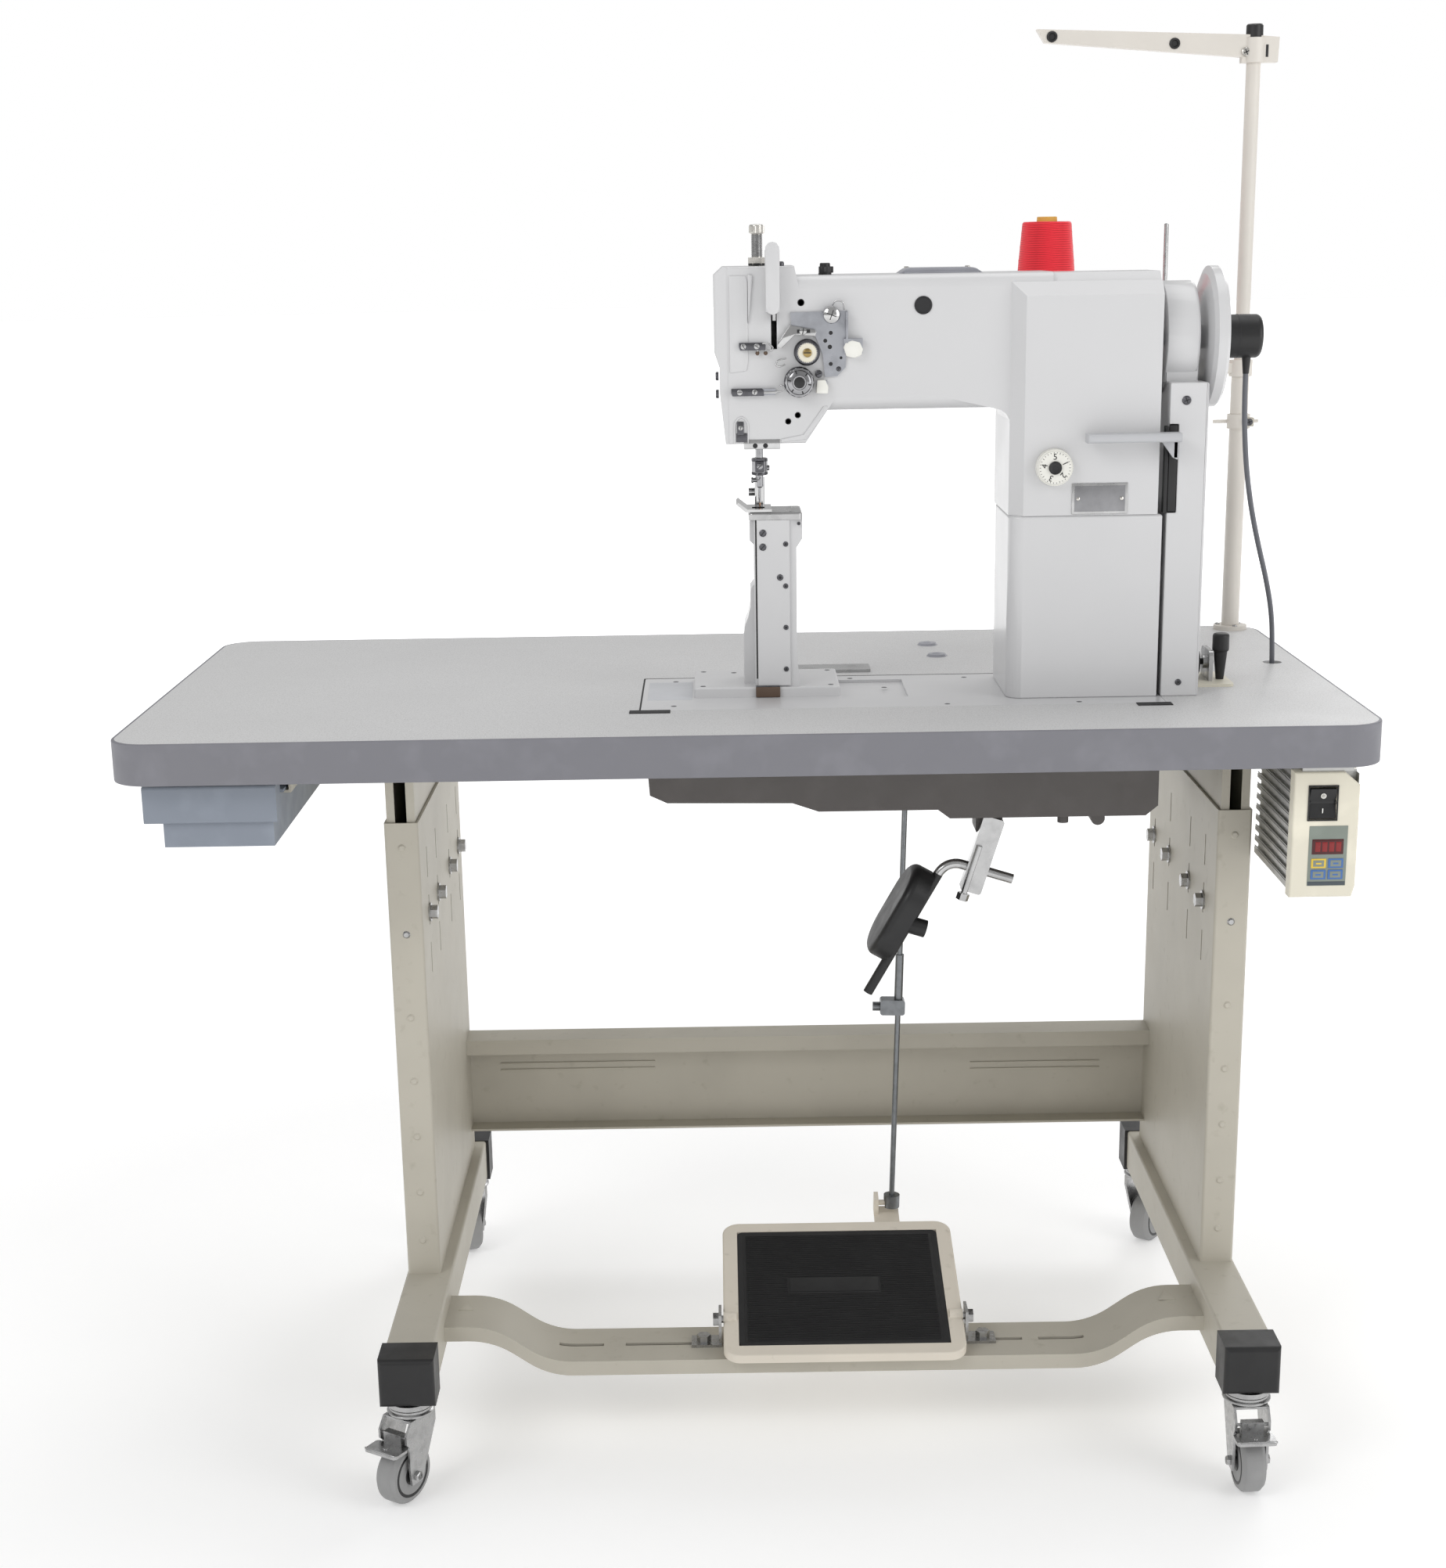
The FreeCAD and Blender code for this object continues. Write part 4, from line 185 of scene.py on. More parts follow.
def paint(name, colour, rough, peel, depth, coat=0.0, dirt=None, patch=0.6):
    """Sprayed paint: a fine orange peel and a slow change of colour and gloss."""
    made = Shade(name, colour, rough, coat=coat)
    made.bump(made.noise(peel, 1.5), depth, 0.6)
    cloud = made.noise(90, 3)
    darker = tuple(0.88 * value for value in colour[:3]) + (1.0,)
    made.tint(made.ramp(cloud, 0.42, 0.75, 0.0, patch), darker)
    if dirt:
        made.tint(made.ramp(made.noise(14, 4), 0.62, 0.78, 0.0, 0.35), dirt)
    made.rough(made.noise(35, 3), rough - 0.02, rough + 0.03)
    return made.mat


def moulded(name, colour, rough=0.5, grain=0.7, depth=0.05):
    """Moulded plastic with a fine spark-eroded grain."""
    made = Shade(name, colour, rough)
    made.bump(made.cells(grain), depth, 0.5)
    made.bump(made.noise(60, 2), 0.25, 0.2)
    lighter = tuple(min(1.0, 1.35 * value + 0.004) for value in colour[:3]) + (1.0,)
    made.tint(made.ramp(made.noise(40, 3), 0.5, 0.8, 0.0, 0.5), lighter)
    made.rough(made.noise(25, 3), rough - 0.06, rough + 0.08)
    return made.mat


def metal(name, colour, rough, brushed=None, pit=None, cloud=18, swing=0.08):
    """Bare or plated metal, clouded, brushed or cast."""
    made = Shade(name, colour, rough, metal=1.0)
    darker = tuple(0.72 * value for value in colour[:3]) + (1.0,)
    made.tint(made.ramp(made.noise(cloud, 4), 0.45, 0.75, 0.0, 0.7), darker)
    made.rough(made.noise(cloud * 0.6, 3), max(0.03, rough - swing), rough + swing)
    if brushed:
        made.bump(made.noise(0.6, 3, brushed), 0.03, 0.5)
    if pit:
        made.bump(made.noise(pit, 3), 0.12, 0.6)
    return made.mat


def speckled(name, colour, rough, specks):
    made = Shade(name, colour, rough, spec=0.4)
    for size, low, high, amount, other in specks:
        made.tint(made.ramp(made.noise(size, 1.0), low, high, 0.0, amount), other)
    made.bump(made.noise(1.6, 2), 0.03, 0.4)
    made.tint(made.ramp(made.noise(160, 2), 0.4, 0.75, 0.0, 0.25),
              tuple(0.9 * value for value in colour[:3]) + (1.0,))
    made.rough(made.noise(70, 3), rough - 0.05, rough + 0.07)
    return made.mat


def wound(name, colour, shade_and_fibre_red, middle, turns):
    """Thread laid in crossing turns about an upright axis through middle."""
    made = Shade(name, colour, 0.62, spec=0.35)
    split = made.node("SeparateXYZ")
    made.join(made.place, split.inputs[0])
    across = made.math("SUBTRACT", split.outputs[0], middle.x)
    away = made.math("SUBTRACT", split.outputs[1], middle.y)
    angle = made.math("ARCTAN2", away, across)
    rise = made.math("MULTIPLY", split.outputs[2], turns)
    waves = []
    for hand in (3.0, -3.0):
        phase = made.math("ADD", rise, made.math("MULTIPLY", angle, hand))
        waves.append(made.math("SINE", phase))
    cross = made.math("MAXIMUM", waves[0], waves[1])
    fibre = made.noise(0.7, 3, (1, 1, 4))
    # painted shade: the troughs between crossing turns are tinted towards the darker red, which also
    # gives the darker fibres
    made.tint(made.ramp(cross, -0.2, 0.9, 0.75, 0.0), shade_and_fibre_red)
    made.tint(made.ramp(fibre, 0.45, 0.75, 0.0, 0.4), shade_and_fibre_red)
    made.bump(cross, 0.35, 0.7)
    made.bump(fibre, 0.1, 0.4)
    made.bsdf.inputs["Sheen Weight"].default_value = 0.25
    made.bsdf.inputs["Sheen Roughness"].default_value = 0.4
    return made.mat


ENAMEL = paint("white_enamel", tone(206, 206, 207), 0.3, 1.8, 0.06, coat=0.25, patch=0.15)
STAND = paint("cream_powder_coat", tone(189, 184, 171), 0.46, 0.9, 0.07, dirt=tone(150, 144, 126))
ROD = metal("dull_rod", (0.22, 0.23, 0.24, 1), 0.35, cloud=9)
PEDAL = paint("cream_pedal_paint", tone(226, 218, 204), 0.46, 0.9, 0.07, dirt=tone(170, 160, 140))
POLE = paint("cream_pole_paint", tone(216, 211, 203), 0.4, 0.9, 0.04)
WHITE = moulded("white_plastic", tone(230, 229, 222), 0.36, 0.6, 0.02)
CREAM = moulded("cream_plastic", tone(222, 217, 200), 0.42, 0.5, 0.03)
BLACK = moulded("black_plastic", tone(26, 26, 27), 0.42, 0.8, 0.08)
GREY = moulded("grey_plastic", tone(80, 76, 74), 0.48, 0.8, 0.06)
DRAWER = moulded("drawer_grey_plastic", tone(131, 138, 149), 0.5, 0.8, 0.06)
# black rubber, and the dark strips of painted shade in the gaps beside the post and the bed
RUBBER_AND_GAP_SHADE = moulded("black_rubber_and_gap_shade", tone(30, 30, 31), 0.7, 0.5, 0.05)
TREAD = moulded("grey_tread_rubber", tone(150, 150, 150), 0.62, 0.6, 0.05)
CABLE = moulded("cable_jacket", tone(100, 102, 108), 0.42, 0.9, 0.02)
EDGE = moulded("edge_band", tone(120, 120, 126), 0.5, 1.4, 0.05)
LAMINATE = speckled("speckled_laminate", tone(202, 202, 202), 0.42, (
    (1.3, 0.60, 0.66, 0.55, tone(150, 150, 152)),
    (2.6, 0.64, 0.70, 0.40, tone(176, 172, 166)),
    (1.7, 0.66, 0.72, 0.60, tone(236, 236, 236))))
ZINC = metal("zinc_plate", (0.46, 0.46, 0.46, 1), 0.3, cloud=9, swing=0.1)
STEEL = metal("ground_steel", (0.50, 0.50, 0.50, 1), 0.3, brushed=(1, 1, 0.06))
DARK_STEEL = metal("blued_steel", (0.12, 0.12, 0.13, 1), 0.32, cloud=6)
CHROME = metal("chrome", (0.52, 0.52, 0.52, 1), 0.1, cloud=25, swing=0.05)
NICKEL = metal("nickel", (0.66, 0.64, 0.60, 1), 0.2, cloud=12)
COPPER = metal("needle_tip", (0.75, 0.46, 0.30, 1), 0.22, cloud=6)
ALUMINIUM = metal("cast_aluminium", (0.55, 0.55, 0.54, 1), 0.46, pit=1.2)
LEVER_PAINT = paint("lever_paint", tone(186, 187, 190), 0.36, 1.2, 0.04)
SLIDE = paint("slide_plate_grey", tone(196, 198, 202), 0.3, 2.0, 0.02)
BRASS = metal("brass", (0.40, 0.29, 0.12, 1), 0.3, cloud=8)
DISPLAY = moulded("display_window", tone(70, 14, 16), 0.12, 1.0, 0.005)
OVERLAY = moulded("panel_overlay", tone(128, 136, 128), 0.4, 0.4, 0.02)
OVERLAY_DARK = moulded("panel_overlay_dark", tone(70, 78, 84), 0.4, 0.4, 0.02)
KEY_BLUE = moulded("key_blue", tone(70, 110, 170), 0.4, 0.4, 0.02)
GREY_LID = moulded("grey_lid", tone(150, 151, 158), 0.34, 0.7, 0.03)
PLATE_GREY = metal("name_plate_grey", (0.30, 0.30, 0.31, 1), 0.42, brushed=(0.05, 1, 1))
SHEET = metal("thread_plate_sheet", (0.40, 0.41, 0.44, 1), 0.34, cloud=14)
SHAFT = metal("regulator_shaft", (0.42, 0.42, 0.42, 1), 0.35, cloud=5)
SMOKED = metal("smoked_chrome", (0.34, 0.34, 0.35, 1), 0.16, cloud=7)
DISPLAY_DIM = moulded("display_digits", tone(130, 24, 26), 0.2, 1.0, 0.005)
KEY_YELLOW = moulded("key_yellow", tone(220, 190, 70), 0.4, 0.4, 0.02)
# near-black for the dial's real print, and painted shade on the dark marks in screw slots, holes, plate
# slots and seam gaps
PRINT_AND_SHADE = moulded("print_and_painted_shade", tone(28, 28, 30), 0.5, 0.4, 0.01)
BROWN = moulded("brown_block", tone(92, 74, 60), 0.5, 0.7, 0.05)
YELLOW = moulded("cone_core", tone(214, 178, 78), 0.5, 0.6, 0.04)

# ---- mesh making ---------------------------------------------------------------------

AXIS = {"x": Matrix.Rotation(math.radians(90), 4, "Y"), "z": Matrix.Identity(4),
        "y": Matrix.Rotation(math.radians(90), 4, "X"),
        "-x": Matrix.Rotation(math.radians(-90), 4, "Y"),
        "-y": Matrix.Rotation(math.radians(-90), 4, "X")}


class Piece:
    """Gathers solids, in millimetres, into one object. Axis y points at the operator."""

    def __init__(self, turn=None):
        self.bm = bmesh.new()
        self.turn = turn or Matrix.Identity(4)

    def take(self, part, skin, own=None):
        part.transform(self.turn @ own if own else self.turn)
        for face in part.faces:
            face.material_index = skin
        bmesh.ops.recalc_face_normals(part, faces=part.faces)
        mesh = bpy.data.meshes.new("part")
        part.to_mesh(mesh)
        part.free()
        self.bm.from_mesh(mesh)
        bpy.data.meshes.remove(mesh)

    def box(self, low, high, bevel=0.0, skin=0, own=None):
        part = bmesh.new()
        bmesh.ops.create_cube(part, size=1.0)
        size = [b - a for a, b in zip(low, high)]
        middle = [(a + b) / 2 for a, b in zip(low, high)]
        part.transform(Matrix.Translation(middle) @ Matrix.Diagonal((*size, 1.0)))
        if bevel:
            bmesh.ops.bevel(part, geom=part.edges[:], offset=bevel, segments=3, profile=0.5,
                            affect="EDGES")
        self.take(part, skin, own)

    def lathe(self, stations, centre, axis="z", skin=0, sides=48, own=None):
        """Round solid; stations are (radius, position along the axis from centre)."""
        part = bmesh.new()
        rings = []
        for radius, rise in stations:
            if radius < 1e-6:
                rings.append([part.verts.new((0, 0, rise))])
            else:
                rings.append([part.verts.new((radius * math.cos(2 * math.pi * i / sides),
                                              radius * math.sin(2 * math.pi * i / sides), rise))
                              for i in range(sides)])
        for one, two in zip(rings, rings[1:]):
            for i in range(sides):
                j = (i + 1) % sides
                corners = [one[i % len(one)], one[j % len(one)], two[j % len(two)], two[i % len(two)]]
                unique = list(dict.fromkeys(corners))
                if len(unique) > 2:
                    part.faces.new(unique)
        for ring in (rings[0], rings[-1]):
            if len(ring) > 1:
                part.faces.new(ring)
        own = (own or Matrix.Identity(4)) @ Matrix.Translation(centre) @ AXIS[axis]
        self.take(part, skin, own)

    def plate(self, outline, span, plane="xz", bevel=0.0, skin=0):
        """Flat solid: an outline in a plane, drawn out over a span along the third axis."""
        part = bmesh.new()
        order = {"xz": lambda a, b, c: (a, c, b), "yz": lambda a, b, c: (c, a, b),
                 "xy": lambda a, b, c: (a, b, c)}[plane]
        low = [part.verts.new(order(a, b, span[0])) for a, b in outline]
        high = [part.verts.new(order(a, b, span[1])) for a, b in outline]
        part.faces.new(low)
        part.faces.new(list(reversed(high)))
        count = len(outline)
        for i in range(count):
            j = (i + 1) % count
            part.faces.new((low[j], low[i], high[i], high[j]))
        if bevel:
            bmesh.ops.bevel(part, geom=part.edges[:], offset=bevel, segments=2, profile=0.5,
                            affect="EDGES")
        self.take(part, skin)

    def wire(self, points, radius, skin=0, sides=12, steps=6):
        """Round wire through points, rounded at its bends."""
        knots = [Vector(point) for point in points]
        spots = []
        for i, (a, b) in enumerate(zip(knots, knots[1:])):
            before = knots[max(i - 1, 0)]
            after = knots[min(i + 2, len(knots) - 1)]
            for step in range(steps):
                t = step / steps
                spots.append(0.5 * (2 * a + (b - before) * t
                                    + (2 * before - 5 * a + 4 * b - after) * t * t
                                    + (3 * a - before - 3 * b + after) * t ** 3))
        spots.append(knots[-1])
        part = bmesh.new()
        rings = []
        ahead = (spots[1] - spots[0]).normalized()
        side = ahead.orthogonal().normalized()
        for i, spot in enumerate(spots):
            ahead = (spots[min(i + 1, len(spots) - 1)] - spots[max(i - 1, 0)]).normalized()
            side = (side - ahead * side.dot(ahead)).normalized()
            other = ahead.cross(side)
            turns = [2 * math.pi * k / sides for k in range(sides)]
            rings.append([part.verts.new(spot + radius * (side * math.cos(a) + other * math.sin(a)))
                          for a in turns])
        for one, two in zip(rings, rings[1:]):
            for k in range(sides):
                j = (k + 1) % sides
                part.faces.new((one[k], one[j], two[j], two[k]))
        part.faces.new(rings[0])
        part.faces.new(list(reversed(rings[-1])))
        self.take(part, skin)

    def screw(self, centre, radius, height, axis="y", kind="slot", skin=0, dark=1, angle=20,
              dome=0.35):
        """Screw head standing on centre: slotted, crossed, socket or hexagonal."""
        sides = 6 if kind == "hex" else 32
        soft = dome * height
        self.lathe(((radius * 0.98, -0.4), (radius, 0), (radius, height - soft),
                    (radius * 0.93, height - soft * 0.4), (radius * 0.75, height), (0, height)),
                   centre, axis, skin, sides)
        base = Matrix.Translation(centre) @ AXIS[axis] @ Matrix.Rotation(math.radians(angle), 4, "Z")
        # the slot, cross and socket cuts are thin dark sheets laid on the head: painted shade in the
        # recesses
        cuts = {"slot": ((0.86, 0.12),), "cross": ((0.6, 0.1), (0.1, 0.6))}.get(kind, ())
        for across, wide in cuts:
            self.box((-radius * across, -radius * wide, height - 0.15),
                     (radius * across, radius * wide, height + 0.04), 0.0, dark, base)
        if kind == "socket":
            self.lathe(((radius * 0.5, height - 0.1), (radius * 0.5, height + 0.03),
                        (0, height + 0.03)), (0, 0, 0), "z", dark, 6, base)

    def make(self, name, body, slot, *skins):
        self.bm.transform(TO_ROW)
        mesh = bpy.data.meshes.new(name)
        self.bm.to_mesh(mesh)
        self.bm.free()
        for polygon in mesh.polygons:
            polygon.use_smooth = True
        mesh.set_sharp_from_angle(angle=math.radians(32))
        obj = put(name, mesh)
        for skin in skins:
            obj.data.materials.append(skin)
        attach(obj, body)
        return obj


# ---- the CAD nodes ---------------------------------------------------------------------


def dress(names, *skins, pick=None, soft=0.0):
    """Give CAD nodes their materials and rounded edges of soft mm.

    pick(x, y, z, normal) gives the number of the skin of each face.
    """
    for name in names.split():
        obj = nodes[name]
        obj.data.materials.clear()
        for skin in skins:
            obj.data.materials.append(skin)
        for polygon in obj.data.polygons:
            spot = TO_TABLE @ polygon.center
            polygon.material_index = pick(*spot, polygon.normal) if pick else 0
        if soft:
            weld = obj.modifiers.new("weld", "WELD")
            weld.merge_threshold = 0.00002
            bevel = obj.modifiers.new("edge", "BEVEL")
            bevel.width = soft / 1000
            bevel.segments = 2
            bevel.limit_method = "ANGLE"
            bevel.angle_limit = math.radians(40)
            bevel.use_clamp_overlap = False
            bevel.harden_normals = True


dress("left_leg right_leg stretcher footrest_bar under_table_brackets", STAND)
dress("treadle_plate", PEDAL)
dress("foot_end_caps servo_motor speed_lever power_rocker sync_unit", BLACK)
dress("stand_hardware", ZINC, STAND,
      pick=lambda x, y, z, n: 0 if z < -600 or abs(z + 232) < 12 else 1)
for corner in ("front_left", "front_right", "rear_left", "rear_right"):
    dress("caster_%s_fork" % corner, ZINC)
    dress("caster_%s_wheel" % corner, TREAD, BLACK)
dress("caster_front_left_brake caster_front_right_brake", ZINC)
dress("treadle_mat bobbin_wheel v_belt", RUBBER_AND_GAP_SHADE)
dress("table_rubbers", RUBBER_AND_GAP_SHADE, GREY_LID, STEEL,
      pick=lambda x, y, z, n: 1 if y > 90 else 2 if y > 20 else 0)
dress("pitman_rod", ROD)
dress("tabletop", LAMINATE)
dress("table_edge_band", EDGE)
dress("oil_pan", GREY)
dress("drawer_tray", DRAWER)
dress("control_box", ALUMINIUM)
dress("control_panel", CREAM)
dress("column_base belt_cover", ENAMEL, soft=1.2)
dress("arm_casting face_cover bed_casting post_casting post_cover handwheel", ENAMEL)
dress("rotary_hook needle_plate motor_pulley main_shaft", STEEL)
dress("bobbin_winder", CREAM, BLACK, STEEL,
      pick=lambda x, y, z, n: 0 if z < 3.2 else 1 if x > 479 else 2)
dress("needle_bar", SMOKED, COPPER, pick=lambda x, y, z, n: 1 if z < 197 else 0)
dress("presser_foot take_up_lever", CHROME)
dress("thread_plate", SHEET, CHROME, pick=lambda x, y, z, n: 1 if z < 253 else 0)
dress("presser_regulator", NICKEL)
dress("tension_upper tension_lower", DARK_STEEL)
dress("reverse_lever", LEVER_PAINT)
dress("stitch_dial", WHITE)
dress("thread_arm", POLE)
dress("knee_lever", CHROME, BLACK, STEEL,
      pick=lambda x, y, z, n: 1 if x < 190 and z < -165 else 2 if x > 215 and abs(n.y) > 0.9 else 0)
dress("thread_stand", POLE, ZINC,
      pick=lambda x, y, z, n: 1 if y < 290 and 305 < z < 454 and x < 500 else 0)
cone_low, cone_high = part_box("thread_cone")
cone_mid = (cone_low + cone_high) / 2
# the second red is painted shade in the troughs of the turns, and the colour of the darker fibres
THREAD = wound("red_thread", tone(246, 48, 62), tone(196, 24, 38), cone_mid, 2600)
dress("thread_cone", THREAD)

# ---- head ------------------------------------------------------------------------------------

FRONT = -125                    # Y of the arm's front face
NEEDLE_X = 18.8                 # the needle bar and the regulator behind it
SHAFT_Y, SHAFT_Z = -72, 345     # the handwheel's shaft
POLE_X, POLE_Y = 569, 276       # the thread stand's pole; its two cones stand at the same Y
CONE_X, CONE_STEP = 347, 133
DIAL = (303, -149, 227)         # middle of the stitch dial's face


def lobed(radius, depth, count, middle=(0, 0), steps=8):
    """Wavy outline, for thumb knobs and knurling."""
    total = count * steps
    return [(middle[0] + (radius + depth * math.cos(count * a)) * math.cos(a),
             middle[1] + (radius + depth * math.cos(count * a)) * math.sin(a))
            for a in (2 * math.pi * i / total for i in range(total))]


part = Piece()
thread = []
for i in range(17):
    rise = 427.6 + 1.25 * i
    thread += [(5.05, rise), (5.6, rise + 0.45), (5.6, rise + 0.6), (5.05, rise + 1.1)]
part.lathe(thread, (NEEDLE_X, -60, 0), skin=1)
part.plate(lobed(7.35, 0.25, 36, (NEEDLE_X, -60), 4), (450.2, 456.4), "xy")
part.lathe(((7.9, 419.2), (8.6, 419.5), (8.6, 421.2), (7.9, 421.6)), (NEEDLE_X, -60, 0), skin=2)
part.lathe(((3.2, 458), (3.2, 458.3), (0, 458.3)), (NEEDLE_X, -60, 0), skin=1)
part.make("regulator_threads", "regulator", "chrome", NICKEL, SHAFT, BLACK)

part = Piece()
part.lathe(((3.4, 409.5), (3.4, 414.6)), (84.5, -78, 0), skin=1)
part.plate(lobed(7.0, 1.3, 3, (84.5, -78), 12), (411.6, 417.6), "xy", 0.6)
part.lathe(((5.2, 417.4), (5.0, 420.4), (4.2, 421.0), (0, 421.0)), (84.5, -78, 0))
part.lathe(((6.4, 409.8), (6.4, 411.6), (5, 411.9)), (84.5, -78, 0))
part.make("thread_knob_on_arm", "table", "black_plastic", BLACK, NICKEL)

part = Piece()
part.plate(((155, 409.6), (162, 414.2), (166, 415.2), (226, 415.0), (230, 414.0), (237, 409.6)),
           (-98, -48), "xz", 1.2)
part.box((160, -101, 409.4), (232, -45, 411.2), 0.8)
for x in (166, 226):
    part.screw((x, -50, 414.9), 2.6, 1.2, "z", "cross", 1, 2, 35)
part.make("oil_window_cover", "table", "grey_plastic", GREY_LID, NICKEL, PRINT_AND_SHADE)

part = Piece()
part.screw((41, -100, 418.8), 3.2, 4.4, "z", "slot", 0, 1, 70)
part.screw((57.0, FRONT, 372.1), 3.3, 1.2, "y", "slot", 0, 1, 55)
# dark dishes of painted shade where the front face has holes
for x, z, r in ((59.3, 385.1, 2.7), (70.9, 367.3, 2.8), (55.6, 279.4, 2.3), (46.3, 273.6, 2.3)):
    part.lathe(((r + 0.7, 0), (r + 0.5, 0.25), (r, 0.15), (r * 0.9, -0.2), (0, -0.2)),
               (x, FRONT, z), "y", 1)
part.lathe(((8.6, 0), (8.4, 1.0), (7.2, 1.4), (6.6, 0.9), (5.2, 0.8), (0, 1.1)),
           (176.5, FRONT, 380.8), "y", 1)
for x, z in ((-20.9, 316), (-20.9, 299)):
    part.screw((x, -96, z), 4.2, 2.6, "-x", "slot", 0, 1, 30)
for x in (268, 398):
    part.lathe(((2.2, 0), (2.2, 0.4), (0, 0.4)), (x, SHAFT_Y, 401), "z", 0)
part.make("head_screws", "table", "steel", DARK_STEEL, PRINT_AND_SHADE)

# raised cover on the head's left front, its arch, the lever's guard and the clip below
part = Piece()
part.plate(((-9.6, 411), (6.4, 411), (8.4, 405), (8.4, 330), (6.6, 322), (-9.6, 320)),
           (FRONT - 1.3, FRONT + 1), "xz", 1.1)
part.plate(((8.6, 412), (13.4, 411), (10.2, 380), (8.6, 366)), (FRONT - 2.6, FRONT + 0.5),
           "xz", 0.8)
part.plate(((39.5, 254), (63.5, 256.5), (84.5, 284.5), (84.5, 287.5), (80.4, 287.5),
            (61.4, 260.4), (39.5, 257)), (FRONT - 0.8, FRONT + 0.5), "xz", 0.3)
part.plate(((25.4, 381), (25.4, 437), (28, 440.5), (32, 441.6), (36, 440.5), (38.6, 437),
            (38.6, 381), (36.4, 376), (32, 374.2), (27.6, 376)), (FRONT - 16.0, FRONT - 14.2),
           "xz", 0.6)
part.wire(((-5.6, FRONT - 0.2, 253.5), (-5.6, FRONT - 0.4, 270), (-3.6, FRONT - 0.4, 275.4),
           (0.8, FRONT - 0.4, 278.2), (5.2, FRONT - 0.4, 275.4), (7.2, FRONT - 0.4, 270),
           (7.2, FRONT - 0.2, 253.5)), 0.9)
part.make("head_front_cover", "table", "enamel", ENAMEL)
part = Piece()
part.box((-4.2, FRONT - 1.4, 254.5), (6.2, FRONT + 0.2, 263), 0.5)
part.box((-3.4, FRONT - 2.0, 261), (3.2, FRONT + 0.2, 274), 0.6)
part.screw((0, FRONT - 1.9, 268), 2.3, 1.2, "y", "slot", 1, 2, 75)
part.make("head_clip", "table", "steel", DARK_STEEL, STEEL, PRINT_AND_SHADE)

part = Piece()
part.box((3, FRONT - 1.0, 247.4), (38.6, FRONT + 2, 256.8), 0.6)
# dark dishes of painted shade in the plate's two holes
for x in (14, 24):
    part.lathe(((2.4, 0), (1.9, 0.25), (1.6, 0.05), (0, 0.05)), (x, FRONT - 1.0, 250.8), "y", 1)
part.make("bush_plate", "table", "chrome", CHROME, PRINT_AND_SHADE)

# thread plate: holes, screws, bracket, pretension dome and guides
part = Piece()
# dark discs of painted shade in the plate's holes
for x, z, r in ((87.7, 356.5, 1.9), (82.4, 349.2, 1.9), (86.8, 343.4, 2.1), (87.6, 327.4, 1.9),
                (97.5, 333, 1.4)):
    part.lathe(((r, 0), (r, 0.12), (0, 0.12)), (x, FRONT - 2, z), "y", 2)
part.screw((76.0, FRONT - 1.9, 318.2), 3.6, 2.4, "y", "slot", 1, 2, 20)
part.screw((95.2, FRONT - 1.9, 322.6), 2.4, 1.0, "y", "slot", 1, 2, 60)
part.plate(((48.6, 364.4), (72.2, 360.0), (74.0, 357.4), (72.4, 353.4), (53.0, 356.2),
            (40.4, 342.8), (36.6, 344.0), (36.4, 347.2)), (FRONT - 5.0, FRONT - 3.4), "xz", 0.45)
# dark sheet of painted shade in the bracket's slot
part.box((55.2, FRONT - 5.2, 356.9), (67.8, FRONT - 4.8, 360.2), 0.0, skin=2)
part.screw((61.0, FRONT - 5.0, 358.6), 3.6, 1.8, "y", "slot", 0, 2, 80)
part.lathe(((2.4, 0), (2.4, 5)), (61.0, FRONT - 0.2, 358.6), "y", 0)
part.lathe(((8.3, 0), (8.3, 1.2), (7.4, 3.2), (4.8, 4.6), (2.6, 5.0), (0, 5.1)),
           (88, FRONT - 11.9, 373.5), "y", 0)
# dark crossed bars of painted shade: the slots on the pretension dome
for degrees in (20, 110):
    turn = (Matrix.Translation((88, FRONT - 16.6, 373.5))
            @ Matrix.Rotation(math.radians(degrees), 4, "Y"))
    part.box((-4.8, -0.6, -0.4), (4.8, 0.5, 0.4), 0.1, 2, turn)
part.wire(((88, FRONT - 6, 380), (92, FRONT - 8, 386), (99, FRONT - 8.4, 385),
           (100.5, FRONT - 5, 378)), 0.75)
part.make("thread_plate_fittings", "table", "chrome", CHROME, DARK_STEEL, PRINT_AND_SHADE)

part = Piece()
for x0, x1, low, high, spots in ((-0.6, 25.0, 341.4, 348.6, (3.6, 16.4)),
                                 (-8.6, 23.0, 298.4, 305.6, (-0.4, 14.0))):
    part.plate(((x0, low + 3), (x0 + 1.2, low), (x1, low), (x1, high - 2), (x1 - 2, high), (x0, high)),
               (FRONT - 5.2, FRONT - 3.8), "xz", 0.35, skin=1)
    for x in spots:
        part.screw((x, FRONT - 5.0, (low + high) / 2), 2.7, 1.6, "y", "slot", 0, 2, 15 + 30 * x)
part.box((22.6, FRONT - 5.0, 300.4), (35.2, FRONT - 3.8, 302.8), 0.3)
for hook in (((22, 4.6, 347.6), (27, 6.4, 347.4), (31.8, 8, 344.2), (30.2, 8, 340.6),
              (26.4, 6.6, 341.6)),
             ((34.6, 4.4, 301.8), (40.2, 7, 302.8), (42.6, 8.4, 306.2), (39.6, 8.2, 308.4),
              (36.2, 6.6, 305.6)),
             ((43.4, 4, 327.5), (38.6, 7, 326.0), (34.6, 8.6, 327.4), (36.8, 9, 331.8),
              (44.6, 6.6, 333.4))):
    part.wire([(x, FRONT - out, z) for x, out, z in hook], 0.7)
for x in (17.1, 25.0):
    part.lathe(((0, -2.1), (1.5, -1.5), (2.1, 0), (1.5, 1.5), (0, 2.1)),
               (x, FRONT - 4.4, 338.6), "z", 3, 20)
    part.lathe(((0.8, 0), (0.8, 3)), (x, FRONT - 4.4, 338.9), "z", 0, 16)
